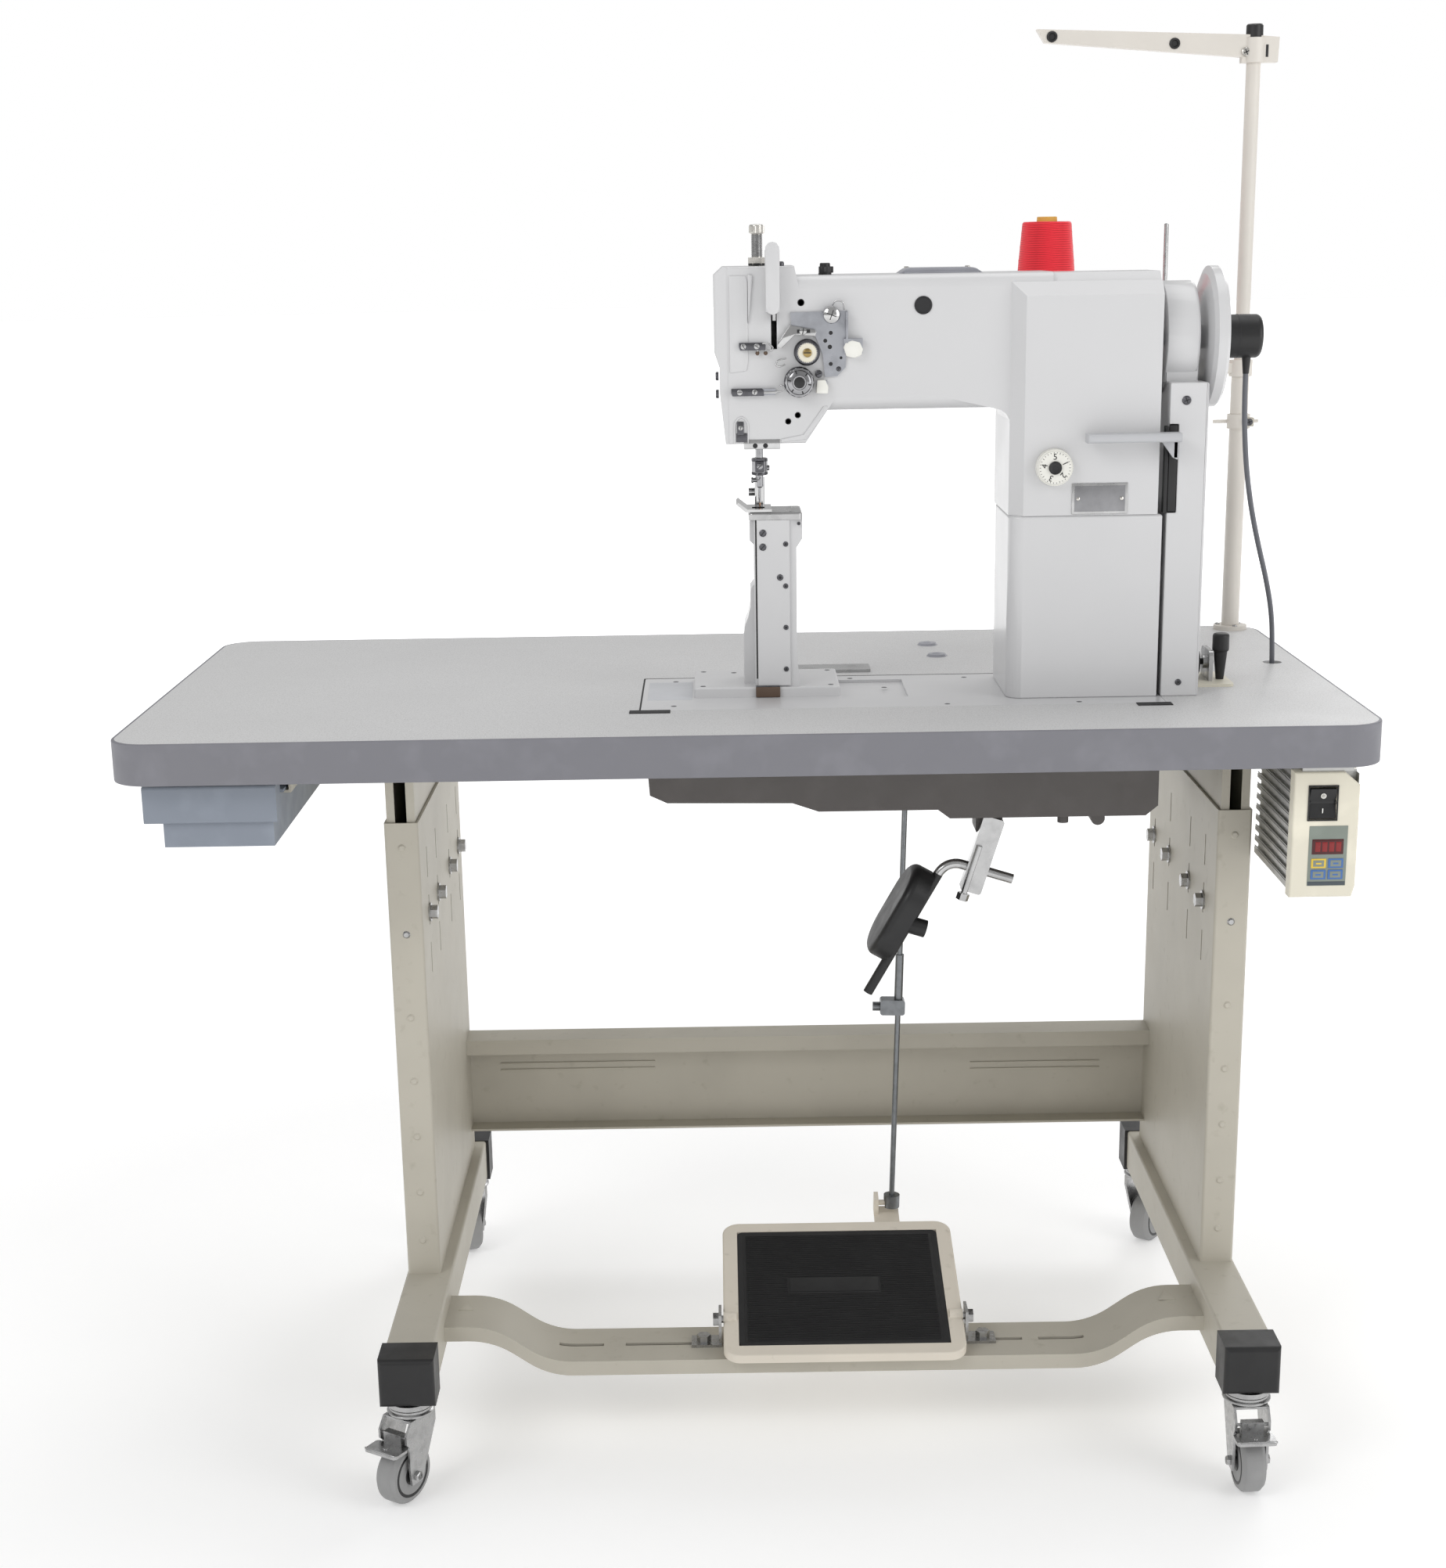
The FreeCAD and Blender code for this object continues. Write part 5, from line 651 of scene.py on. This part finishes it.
part.make("thread_guides", "table", "steel", STEEL, DARK_STEEL, PRINT_AND_SHADE, BROWN)

# white covers on the two thread tabs
part = Piece()
part.plate(((99.4, 343), (101.6, 347.6), (108, 349.6), (115.4, 347.6), (118.6, 341.2),
            (117, 335.4), (110, 332.6), (102.2, 334.4)), (FRONT - 9.0, FRONT - 0.2), "xz", 1.6)
part.plate(((73.2, 300), (84.6, 299.6), (85.2, 306), (82.4, 312.8), (74.2, 312.8)),
           (FRONT - 7.8, FRONT - 0.2), "xz", 1.2)
part.make("thread_tabs", "table", "white_plastic", WHITE)

# tension units: spring ring, pale dial and centre above; slotted thumb nut below
part = Piece()
x, z = 64.6, 338.8
part.lathe(((12.2, 2.6), (12.6, 3.4), (12.0, 4.4), (12.6, 5.4), (12.4, 7.0), (11.0, 8.8),
            (9.2, 9.2), (8.8, 16.0)), (x, FRONT, z), "y", 1, 64)
part.plate(lobed(9.3, 0.3, 30, (x, z), 4), (FRONT - 15.4, FRONT - 9.4), "xz", 0.0)
part.lathe(((9.0, 15.2), (8.6, 16.2), (4.4, 16.5), (4.2, 16.1), (0, 16.1)), (x, FRONT, z), "y", 3, 48)
part.lathe(((4.0, 15.8), (4.0, 17.4), (2.8, 17.9), (0, 17.9)), (x, FRONT, z), "y", 2, 32)
# dark bar of painted shade: the slot in the centre screw
part.box((x - 3.4, FRONT - 18.1, z - 0.5), (x + 3.4, FRONT - 17.6, z + 0.5), 0, 4)
part.make("tension_upper_dial", "upper_tension", "chrome", NICKEL, DARK_STEEL, BRASS, CREAM, PRINT_AND_SHADE)

part = Piece()
x, z = 56.9, 311.0
part.lathe(((14.1, 2.6), (14.5, 3.6), (13.6, 4.6), (14.4, 5.8), (13.4, 7.0), (12.0, 7.6)),
           (x, FRONT, z), "y", 1, 64)
part.plate(lobed(13.4, 0.7, 14, (x, z), 8), (FRONT - 14.6, FRONT - 7.2), "xz", 0.5)
part.lathe(((12.0, 14.4), (11.0, 16.0), (8.4, 17.2), (7.0, 17.3), (6.6, 16.4), (0, 16.4)),
           (x, FRONT, z), "y", 0, 64)
part.lathe(((5.4, 15.8), (5.2, 17.8), (3.4, 18.3), (0, 18.3)), (x, FRONT, z), "y", 2, 32)
# six dark bars of painted shade: the slots of the thumb nut
for i in range(6):
    a = math.radians(60 * i + 12)
    turn = Matrix.Translation((x, FRONT - 16.3, z)) @ Matrix.Rotation(a, 4, "Y")
    part.box((7.6, -0.9, -0.6), (11.4, 0.4, 0.6), 0.1, 3, turn)
part.make("tension_lower_nut", "lower_tension", "chrome", SMOKED, DARK_STEEL, BLACK, PRINT_AND_SHADE)

# needle clamp and shank screws
part = Piece()
part.lathe(((8.15, 219.6), (8.15, 222), (7.9, 222.4), (7.9, 232.4), (8.15, 232.8), (8.15, 235.2)),
           (NEEDLE_X, -85, 0), "z", 1, 40)
part.box((14.2, -94.4, 222.6), (23.2, -90.2, 233.2), 0.8, skin=1)
part.screw((NEEDLE_X, -94.2, 228), 3.0, 1.8, "y", "slot", 0, 2, 40)
part.screw((26.4, -86, 226), 2.6, 2.2, "x", "slot", 0, 2, 10)
part.wire(((16.4, -93.4, 221.4), (14.8, -95.4, 217.6), (17.2, -95.6, 215.2),
           (19.6, -94.4, 217.0)), 0.55)
part.lathe(((3.75, 207.8), (3.75, 209.4), (2.2, 206.6), (1.6, 206.4)), (NEEDLE_X, -85, 0), "z", 0, 32)
part.screw((12.0, -85, 214), 2.8, 1.8, "-x", "slot", 0, 2, 70)
part.make("needle_clamp_trim", "needle", "chrome", SMOKED, DARK_STEEL, PRINT_AND_SHADE)

# ---- post ---------------------------------------------------------------------------------

part = Piece()
for x, z, r, kind in ((20.9, 164.0, 3.6, "slot"), (20.7, 150.3, 3.6, "slot"),
                      (43.3, 153.0, 2.6, "socket"), (37.5, 120.0, 3.2, "socket"),
                      (43.0, 111.4, 2.6, "socket"), (43.0, 70.0, 2.6, "socket"),
                      (43.0, 28.0, 2.6, "socket")):
    part.screw((x, -106.9, z), r, 1.3, "y", kind, 0, 1, 11 * x, 0.8)
part.screw((56.4, -106.9, 173.0), 1.8, 0.5, "y", "socket", 0, 1)
part.make("post_screws", "table", "steel", DARK_STEEL, PRINT_AND_SHADE)

# dark strips of painted shade in the gap between the post's cover and its casting
part = Piece()
part.box((12.4, -103.9, 11), (14.7, -100, 176.6), 0)
part.box((12.4, -106.6, 0.3), (14.7, -100, 11), 0)
part.make("post_joint_painted_shade", "table", "rubber", RUBBER_AND_GAP_SHADE)
part = Piece()
part.box((12.2, -111.5, 0.3), (36.6, -106.6, 10.6), 0.8)
part.box((12.4, -110.5, 10.2), (36.4, -107.4, 11.4), 0.3, skin=1)
part.make("post_foot_block", "table", "black_plastic", BROWN, DARK_STEEL)
part = Piece()
for x, y, z in ((-41, -98, 10), (-41, -14, 10), (88, -98, 10), (88, -14, 10), (-9.4, -21.8, 10),
                (-70, -14, 0), (-70, -150, 0), (144.3, -62.7, -0.4), (112, -10, 0), (200, -160, 0),
                (330, -160, 0), (231, -14, 0)):
    part.lathe(((2.8, 0), (2.8, 0.12), (1.4, 0.16), (1.3, 0.1), (0, 0.1)), (x, y, z), "z", 0, 24)
part.make("bed_screws", "table", "steel", DARK_STEEL)

# dark strips of painted shade in the gap round the bed's back and left edges
part = Piece()
part.box((-103.0, 5.2, -1.5), (414, 6.9, 0.15), 0)
part.box((-103.9, -171.4, -1.5), (-102.2, 6.2, 0.15), 0)
part.make("bed_gap_painted_shade", "table", "rubber", RUBBER_AND_GAP_SHADE)
part = Piece()
part.box((-97, -117, -0.3), (-52, -19, 0.25), 0.2)
part.make("bed_slide_plates", "table", "steel", SLIDE)
part = Piece()
part.box((-336.4, -110, -300), (-336.1, 250, -130), 0)
part.box((483.1, -110, -300), (483.4, 250, -130), 0)
part.make("leg_slot_shadows", "stand", "stand_paint", PRINT_AND_SHADE)

# needle plate slots and feed dog; the openings are dark sheets of painted shade
part = Piece()
for x0, y0, x1, y1, top in ((12.0, -97.0, 26.0, -95.4, 184.25), (9.6, -93.0, 15.0, -77.0, 184.2),
                            (22.4, -93.0, 28.0, -77.0, 184.2)):
    part.box((x0, y0, 183.9), (x1, y1, top), 0, 1)
part.screw((50, -98, 183.9), 2.6, 0.5, "z", "slot", 0, 1, 30)
part.screw((50, -54, 183.9), 2.6, 0.5, "z", "slot", 0, 1, 70)
part.make("needle_plate_marks", "table", "steel", STEEL, PRINT_AND_SHADE)

# ---- column -------------------------------------------------------------------------------

part = Piece()
part.box((321, -139.0, 181), (375.4, -137.8, 211), 0.5)
part.box((323.6, -139.3, 183.6), (372.8, -138.9, 208.4), 0.2, skin=1)
for x in (327, 369.4):
    part.lathe(((1.9, 0), (1.7, 0.8), (0.9, 1.2), (0, 1.3)), (x, -139.2, 196), "y", 2, 24)
part.make("blank_name_plate", "table", "steel", STEEL, PLATE_GREY, NICKEL)

part = Piece()
part.screw((429.5, -138, 288.3), 4.4, 1.6, "y", "cross", 0, 1, 20, 0.8)
part.screw((431, -138, 14), 3.2, 1.2, "y", "cross", 0, 1, 50, 0.8)
part.make("belt_cover_screws", "table", "steel", DARK_STEEL, PRINT_AND_SHADE)

part = Piece()
part.box((414.5, -136.8, 182), (422.6, -133.5, 265), 0.4)
part.box((410.3, -137.6, 181), (413.8, -128, 264), 0.3)
part.make("reverse_lever_slot_liner", "table", "black_plastic", BLACK)

part = Piece()
part.plate(((404, 251.5), (420.6, 251.5), (420.6, 233), (416, 235)), (-150.0, -147.0), "xz", 0.5)
part.make("reverse_lever_gusset", "reverse", "cast_aluminium", LEVER_PAINT)

# numbered dial: the marks lie on its front face
part = Piece()
part.lathe(((6.4, -0.3), (6.2, 1.9), (5.2, 2.6), (4.2, 2.2), (0, 2.2)), DIAL, "y", 0, 48)
part.lathe(((2.6, 2.1), (2.6, 2.35), (0, 2.35)), DIAL, "y", 1, 6)
for i in range(30):
    a = 2 * math.pi * i / 30
    reach = 13.2 if i % 6 == 0 else 13.9
    turn = Matrix.Translation(DIAL) @ Matrix.Rotation(a, 4, "Y")
    part.box((reach, -0.12, -0.22), (15.1, 0.1, 0.22), 0, 1, turn)
part.make("dial_marks", "dial", "black_plastic", BLACK, PRINT_AND_SHADE)
part = Piece()
part.plate(lobed(17.4, 0.25, 48, (DIAL[0], DIAL[2]), 4), (-147.0, -140.5), "xz", 0.0)
part.make("dial_knurl", "dial", "white_plastic", WHITE)
for number, degrees in ((1, 24), (2, -42), (3, -112), (4, 170), (5, 92)):
    text = bpy.data.curves.new("dial_number_%d" % number, "FONT")
    text.body = str(number)
    text.size = 0.0082
    text.align_x = "CENTER"
    text.align_y = "CENTER"
    text.extrude = 0.00015
    text.materials.append(PRINT_AND_SHADE)
    obj = put("dial_number_%d" % number, text)
    a = math.radians(degrees)
    spot = at(DIAL[0] + 10.4 * math.cos(a), DIAL[1] - 0.12, DIAL[2] + 10.4 * math.sin(a))
    obj.matrix_world = (Matrix.Translation(spot) @ Matrix.Rotation(math.radians(90), 4, "X")
                        @ Matrix.Rotation(a - math.pi / 2, 4, "Z"))
    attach(obj, "dial")

# ---- handwheel and sensor -------------------------------------------------------------------

part = Piece()
hub = (0, SHAFT_Y, SHAFT_Z)
for i in range(3):
    a = math.radians(120 * i + 20)
    part.screw((464.4, SHAFT_Y + 15 * math.cos(a), SHAFT_Z + 15 * math.sin(a)), 2.8, 1.6,
               "x", "socket", 0, 1)
# dark ring of painted shade in the gap beside the handwheel
part.lathe(((21.4, 470.0), (21.4, 470.5), (19, 470.5)), hub, "x", 1, 48)
part.make("handwheel_screws", "handwheel", "steel", DARK_STEEL, PRINT_AND_SHADE)

part = Piece()
# dark band of painted shade in the sensor's seam
part.lathe(((21.15, 488.0), (21.15, 489.0), (20.9, 489.2)), hub, "x", 1, 64)
part.lathe(((7.4, 511.7), (7.2, 512.3), (5.8, 512.5), (0, 512.5)), hub, "x", 0, 40)
for i in range(4):
    a = math.radians(90 * i + 45)
    part.screw((511.7, SHAFT_Y + 13 * math.cos(a), SHAFT_Z + 13 * math.sin(a)), 1.8, 0.7,
               "x", "cross", 2, 1)
part.lathe(((4.2, 322.5), (4.4, 325), (3.2, 311), (3.0, 309)), (499, -74, 0), "z", 0, 24)
part.make("sensor_trim", "table", "black_plastic", BLACK, PRINT_AND_SHADE, NICKEL)

# ---- thread stand -----------------------------------------------------------------------------

part = Piece()
for x, z in ((347.5, 651), (481, 642)):
    for axis, y in (("y", 269), ("-y", 283)):
        part.lathe(((5.9, -0.2), (5.8, 0.9), (4.9, 1.5), (3.7, 1.3), (3.2, 0.4), (3.2, -6.6),
                    (4.1, -6.6)), (x, y, z), axis, 0, 32)
part.screw((559, 269, 632), 5.2, 2.6, "y", "cross", 1, 2, 25, 0.6)
part.box((580.4, 268.7, 626.6), (583.2, 269.3, 639.4), 0.1, skin=2)
part.lathe(((9.25, 646.8), (9.3, 650), (9.2, 659.4), (8.0, 661.0), (6, 661.0)),
           (POLE_X, POLE_Y, 0), "z", 0, 48)
part.make("thread_arm_trim", "thread_arm", "black_plastic", BLACK, NICKEL, PRINT_AND_SHADE)

part = Piece()
part.box((575, 258, 232), (583, 266, 242), 1.2, skin=2)
part.screw((577.5, 262.8, 237), 5.0, 5.0, "y", "cross", 0, 1, 20)
for x in (CONE_X, CONE_X + CONE_STEP):
    part.lathe(((38.2, 301.4), (38.8, 302.2), (38.8, 304.8), (38.0, 305.3), (24, 305.4),
                (23.4, 305.1)), (x, POLE_Y, 0), "z", 2, 72)
    part.lathe(((2.55, 452), (2.5, 453.4), (1.2, 454.2), (0, 454.3)), (x, POLE_Y, 0), "z", 3, 24)
    part.lathe(((7.5, 305.1), (7.0, 307.4), (3.2, 308.2)), (x, POLE_Y, 0), "z", 3, 32)
for i in range(3):
    a = math.radians(120 * i + 40)
    part.screw((POLE_X + 14.6 * math.cos(a), POLE_Y + 14.6 * math.sin(a), 5), 2.8, 1.6,
               "z", "cross", 3, 1)
part.make("thread_stand_trim", "table", "stand_paint", DARK_STEEL, PRINT_AND_SHADE, STAND, ZINC)

# wound turns and core of the cone
part = Piece()
TURNS = 60
turns = [(33, 308.9), (38.5, 309.0)]
for i in range(TURNS):
    t = i / (TURNS - 1)
    uneven = 0.22 * math.sin(i * 2.1) + 0.12 * math.sin(i * 5.3)
    turns.append((40 - 13 * t + uneven, 309.6 + 147.4 * t))
turns += [(25.4, 458.1), (12, 458.3)]
part.lathe(turns, (CONE_X, POLE_Y, 0), "z", 0, 96)
part.lathe(((11.4, 457.6), (11.0, 463.2), (9.6, 463.4), (9.2, 462.2), (8.2, 461.6)),
           (CONE_X, POLE_Y, 0), "z", 1, 48)
part.make("thread_winding", "table", "thread", THREAD, YELLOW)

# ---- control box ------------------------------------------------------------------------------

PANEL = -268    # Y of the control panel's front
part = Piece()
part.box((536.4, PANEL - 0.5, -162.4), (573.2, PANEL + 0.3, -103.4), 0.3)
part.box((536.9, PANEL - 0.7, -162.0), (572.7, PANEL - 0.3, -158.2), 0.1, skin=1)
part.box((539.6, PANEL - 1.0, -131.2), (569.6, PANEL - 0.4, -116.4), 0.4, skin=2)
for i in range(4):
    x = 542.6 + 6.6 * i
    part.box((x, PANEL - 1.2, -128.6), (x + 5.0, PANEL - 0.9, -119.0), 0.2, skin=6)
for x, z, skin in ((539.4, -144.8, 4), (555.8, -144.8, 3), (539.4, -155.9, 3), (555.8, -155.9, 3)):
    part.box((x, PANEL - 1.1, z), (x + 14.4, PANEL - 0.4, z + 9.4), 0.4, skin=skin)
    part.box((x + 2.0, PANEL - 1.3, z + 1.6), (x + 12.4, PANEL - 1.0, z + 7.8), 0.2)
    part.box((x + 4.6, PANEL - 1.4, z + 3.8), (x + 9.8, PANEL - 1.2, z + 5.4), 0.1, skin=skin)
for x0, z0, x1, z1 in ((533.6, -98.4, 562.4, -97.0), (533.6, -65.0, 562.4, -63.6),
                       (533.6, -98.4, 535.0, -63.6), (561.0, -98.4, 562.4, -63.6)):
    part.box((x0, PANEL - 1.2, z0), (x1, PANEL + 0.3, z1), 0.4, skin=5)
part.make("control_panel_front", "table", "bezel", OVERLAY, OVERLAY_DARK, DISPLAY, KEY_BLUE,
          KEY_YELLOW, BLACK, DISPLAY_DIM)

part = Piece(seat("rocker_press", (1, 0, 0), 4))
part.lathe(((2.6, 0), (2.6, 0.4), (1.9, 0.4), (1.9, 0)), (0, -3.6, 7.4), "y", 0, 32)
part.box((-0.4, -3.9, -9.6), (0.4, -3.0, -5.0), 0, 0)
part.make("rocker_marks", "rocker", "black_plastic", WHITE)

part = Piece()
for z in (-58, -166):
    for y in (-246, -112):
        part.screw((579.8, y, z), 2.6, 1.2, "x", "cross", 0, 1, 20)
part.box((582.4, -262, -168), (582.9, -104, -54), 0.2, skin=2)
part.screw((578, -256, -50), 3.6, 2.4, "z", "hex", 0, 1)
for i in range(11):
    z = -52.4 - 11 * i
    part.box((522.2, -246, z - 0.9), (523.2, -104, z + 0.1), 0.2, skin=2)
part.make("control_box_trim", "table", "cast_aluminium", NICKEL, PRINT_AND_SHADE, ALUMINIUM)

# ---- treadle -----------------------------------------------------------------------------------

REST_TILT = 14.3    # degrees the treadle leans at rest
RIBS = 78
part = Piece(seat("treadle_tilt", (1, 0, 0), REST_TILT))
part.box((-104, -41, 2.3), (104, 139, 2.7), 0.3)
for i in range(RIBS):
    y = -38.6 + 175.2 * i / (RIBS - 1)
    beside_blank = ((-101, -57), (43, 101))
    for low, high in beside_blank if 38 < y < 66 else ((-101, 101),):
        part.box((low, y - 0.55, 2.5), (high, y + 0.55, 3.5), 0.25)
part.box((-55, 40, 2.5), (41, 64, 3.1), 0.5)
part.make("treadle_mat_ribs", "treadle", "rubber", RUBBER_AND_GAP_SHADE)

# ---- stand ---------------------------------------------------------------------------------------

part = Piece()
for low, high, z in ((-297, -110, -516), (271, 428, -524)):
    part.box((low, 251.2, z - 5.2), (high, 252.7, z - 3.0), 0.7)
    part.box((low, 251.2, z + 3.0), (high, 252.7, z + 5.2), 0.7)
for x0, x1 in ((-311, -295), (429, 447)):
    part.plate(((x0, -168), (x1, -168), ((x0 + x1) / 2, -145)), (-640.4, -639.2), "xy", 0.5)
part.make("pressed_ribs", "stand", "stand_paint", STAND)

# ---- casters: pedal lip, axle nuts, wheel discs ------------------------------------------------------

FLOOR_Z = -775
TRAIL, AXLE_Z = 17, 31.5    # the axle's place in its fork
HEADING = {"front_left": 148, "front_right": 182, "rear_left": 20, "rear_right": -35}
for corner, heading in HEADING.items():
    swivel = seat("swivel_" + corner).translation
    caster = (Matrix.Translation((swivel.x, swivel.y, FLOOR_Z))
              @ Matrix.Rotation(math.radians(heading), 4, "Z"))
    part = Piece(caster)
    for side, sign in (("x", 1), ("-x", -1)):
        part.screw((sign * 17.6, TRAIL, AXLE_Z), 5.4, 4.4, side, "hex", 0, 1)
        part.lathe(((7.6, 0), (7.6, 0.9), (5, 1.0)), (sign * 17.0, TRAIL, AXLE_Z), side, 0, 32)
    for profile in (((23.3, 92.4), (24.0, 93.4), (24.0, 95.0), (22.4, 96.6), (15, 98.6)),
                    ((21.8, 99.4), (22.6, 100.2), (22.6, 101.4), (21.4, 102.4), (12, 103.4))):
        part.lathe(profile, (0, 0, 0), "z", 0, 56)
    part.make("caster_%s_hardware" % corner, "fork_" + corner, "zinc", ZINC, PRINT_AND_SHADE)
    part = Piece(caster)
    for side in ("x", "-x"):
        part.lathe(((24.4, 11.4), (24.0, 12.25), (21.6, 12.4), (20.8, 11.9), (11.0, 11.9),
                    (10.2, 12.7), (6.4, 12.9)), (0, TRAIL, AXLE_Z), side, 0, 64)
    part.lathe(((30.9, -8.6), (31.4, -7.2), (31.5, 0), (31.4, 7.2), (30.9, 8.6)),
               (0, TRAIL, AXLE_Z), "x", 1, 72)
    part.make("caster_%s_discs" % corner, "wheel_" + corner, "tread", BLACK, TREAD)
    if corner.startswith("front"):
        part = Piece(caster)
        part.wire(((-18.6, 47.6, 66.6), (-17.6, 50.2, 67.6), (0, 50.6, 68.0), (17.6, 50.2, 67.6),
                   (18.6, 47.6, 66.6)), 1.3, 0)
        part.screw((0, 42, 67.4), 2.6, 1.1, "z", "dome", 0, 1)
        part.make("caster_%s_pedal_lip" % corner, "brake_" + corner, "zinc", ZINC, PRINT_AND_SHADE)

# ---- the sensor cable ---------------------------------------------------------------------

CABLE_LENGTH, CABLE_DIAMETER = 0.375, 0.0054    # metres
CABLE_ROUTE = ((499, -74, 326), (499, -73, 292), (501, -70, 256), (507, -58, 216), (518, -38, 174),
               (532, -15, 134), (547, 8, 96), (559, 28, 58), (565, 43, 22), (567, 48, -14))
line = bpy.data.curves.new("sensor_cable", "CURVE")
line.dimensions = "3D"
spline = line.splines.new("NURBS")
spline.points.add(len(CABLE_ROUTE) - 1)
for point, spot in zip(spline.points, CABLE_ROUTE):
    point.co = (*at(*spot), 1.0)
spline.order_u = 3
spline.use_endpoint_u = True
line.bevel_depth = CABLE_DIAMETER / 2
line.bevel_resolution = 5
line.resolution_u = 16
line.use_fill_caps = True
cable = put("sensor_cable", line)
line.materials.append(CABLE)
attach(cable, "table")
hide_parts("sync_cable")

# ---- floor, light and camera ---------------------------------------------------------------

floor_mesh = bpy.data.meshes.new("floor")
floor_bm = bmesh.new()
bmesh.ops.create_circle(floor_bm, cap_ends=True, radius=45.0, segments=96)
floor_bm.to_mesh(floor_mesh)
floor_bm.free()
floor = put("floor", floor_mesh)
pale = Shade("pale_floor", (0.86, 0.86, 0.86, 1), 0.7, spec=0.2)
pale.tint(pale.ramp(pale.noise(600, 2), 0.4, 0.8, 0.0, 0.25), (0.82, 0.82, 0.82, 1))
pale.bsdf.inputs["Emission Color"].default_value = (1.0, 1.0, 1.0, 1.0)
away = pale.node("VectorMath", operation="LENGTH")
pale.join(pale.place, away.inputs[0])
# the floor glows more from 1 m to 5 m away, so that it meets the backdrop without an edge
pale.join(pale.ramp(away.outputs["Value"], 1.0, 5.0, 0.3, 0.95), pale.bsdf.inputs["Emission Strength"])
floor.data.materials.append(pale.mat)

world = bpy.data.worlds.new("studio")
bpy.context.scene.world = world
world.use_nodes = True
sky = world.node_tree.nodes["Background"]
sky.inputs["Color"].default_value = (1.0, 1.0, 1.0, 1)
rays = world.node_tree.nodes.new("ShaderNodeLightPath")
seen = world.node_tree.nodes.new("ShaderNodeMapRange")
seen.inputs["To Min"].default_value = 0.52
seen.inputs["To Max"].default_value = 1.0
world.node_tree.links.new(rays.outputs["Is Camera Ray"], seen.inputs["Value"])
world.node_tree.links.new(seen.outputs["Result"], sky.inputs["Strength"])


def lamp(name, spot, aim, size, power):
    light = bpy.data.lights.new(name, "AREA")
    light.shape = "RECTANGLE"
    light.size, light.size_y = size
    light.energy = power
    obj = put(name, light)
    obj.location = spot
    obj.rotation_euler = (Vector(aim) - Vector(spot)).to_track_quat("-Z", "Y").to_euler()


lamp("key", (-2.2, -2.4, 2.9), (0, 0, 0.8), (1.8, 1.4), 30)
lamp("fill", (2.6, -1.8, 1.8), (0, 0, 0.7), (1.6, 2.0), 24)
lamp("top", (0.2, 0.6, 3.4), (0, 0, 0.8), (2.4, 1.8), 22)
lamp("rim", (1.8, 2.6, 2.2), (0, 0, 0.8), (1.4, 1.4), 16)

view = bpy.data.cameras.new("camera")
view.sensor_width = 36.0
view.lens = 54.6772455
view.shift_x = 0.00273453
view.shift_y = 0.08
view.clip_end = 90
camera = put("camera", view)
ahead = Vector((-0.0027678, 0.9629099, -0.2698091)).normalized()
right = Vector((0.9998713, -0.0015991, -0.0159635)).normalized()
up = right.cross(ahead)
camera.matrix_world = Matrix.Translation(at(-22.19, -2476.13, 442.09)) @ Matrix(
    (right, up, -ahead)).transposed().to_4x4()
bpy.context.scene.camera = camera
bpy.context.scene.view_settings.view_transform = "Standard"
bpy.context.scene.view_settings.look = "None"
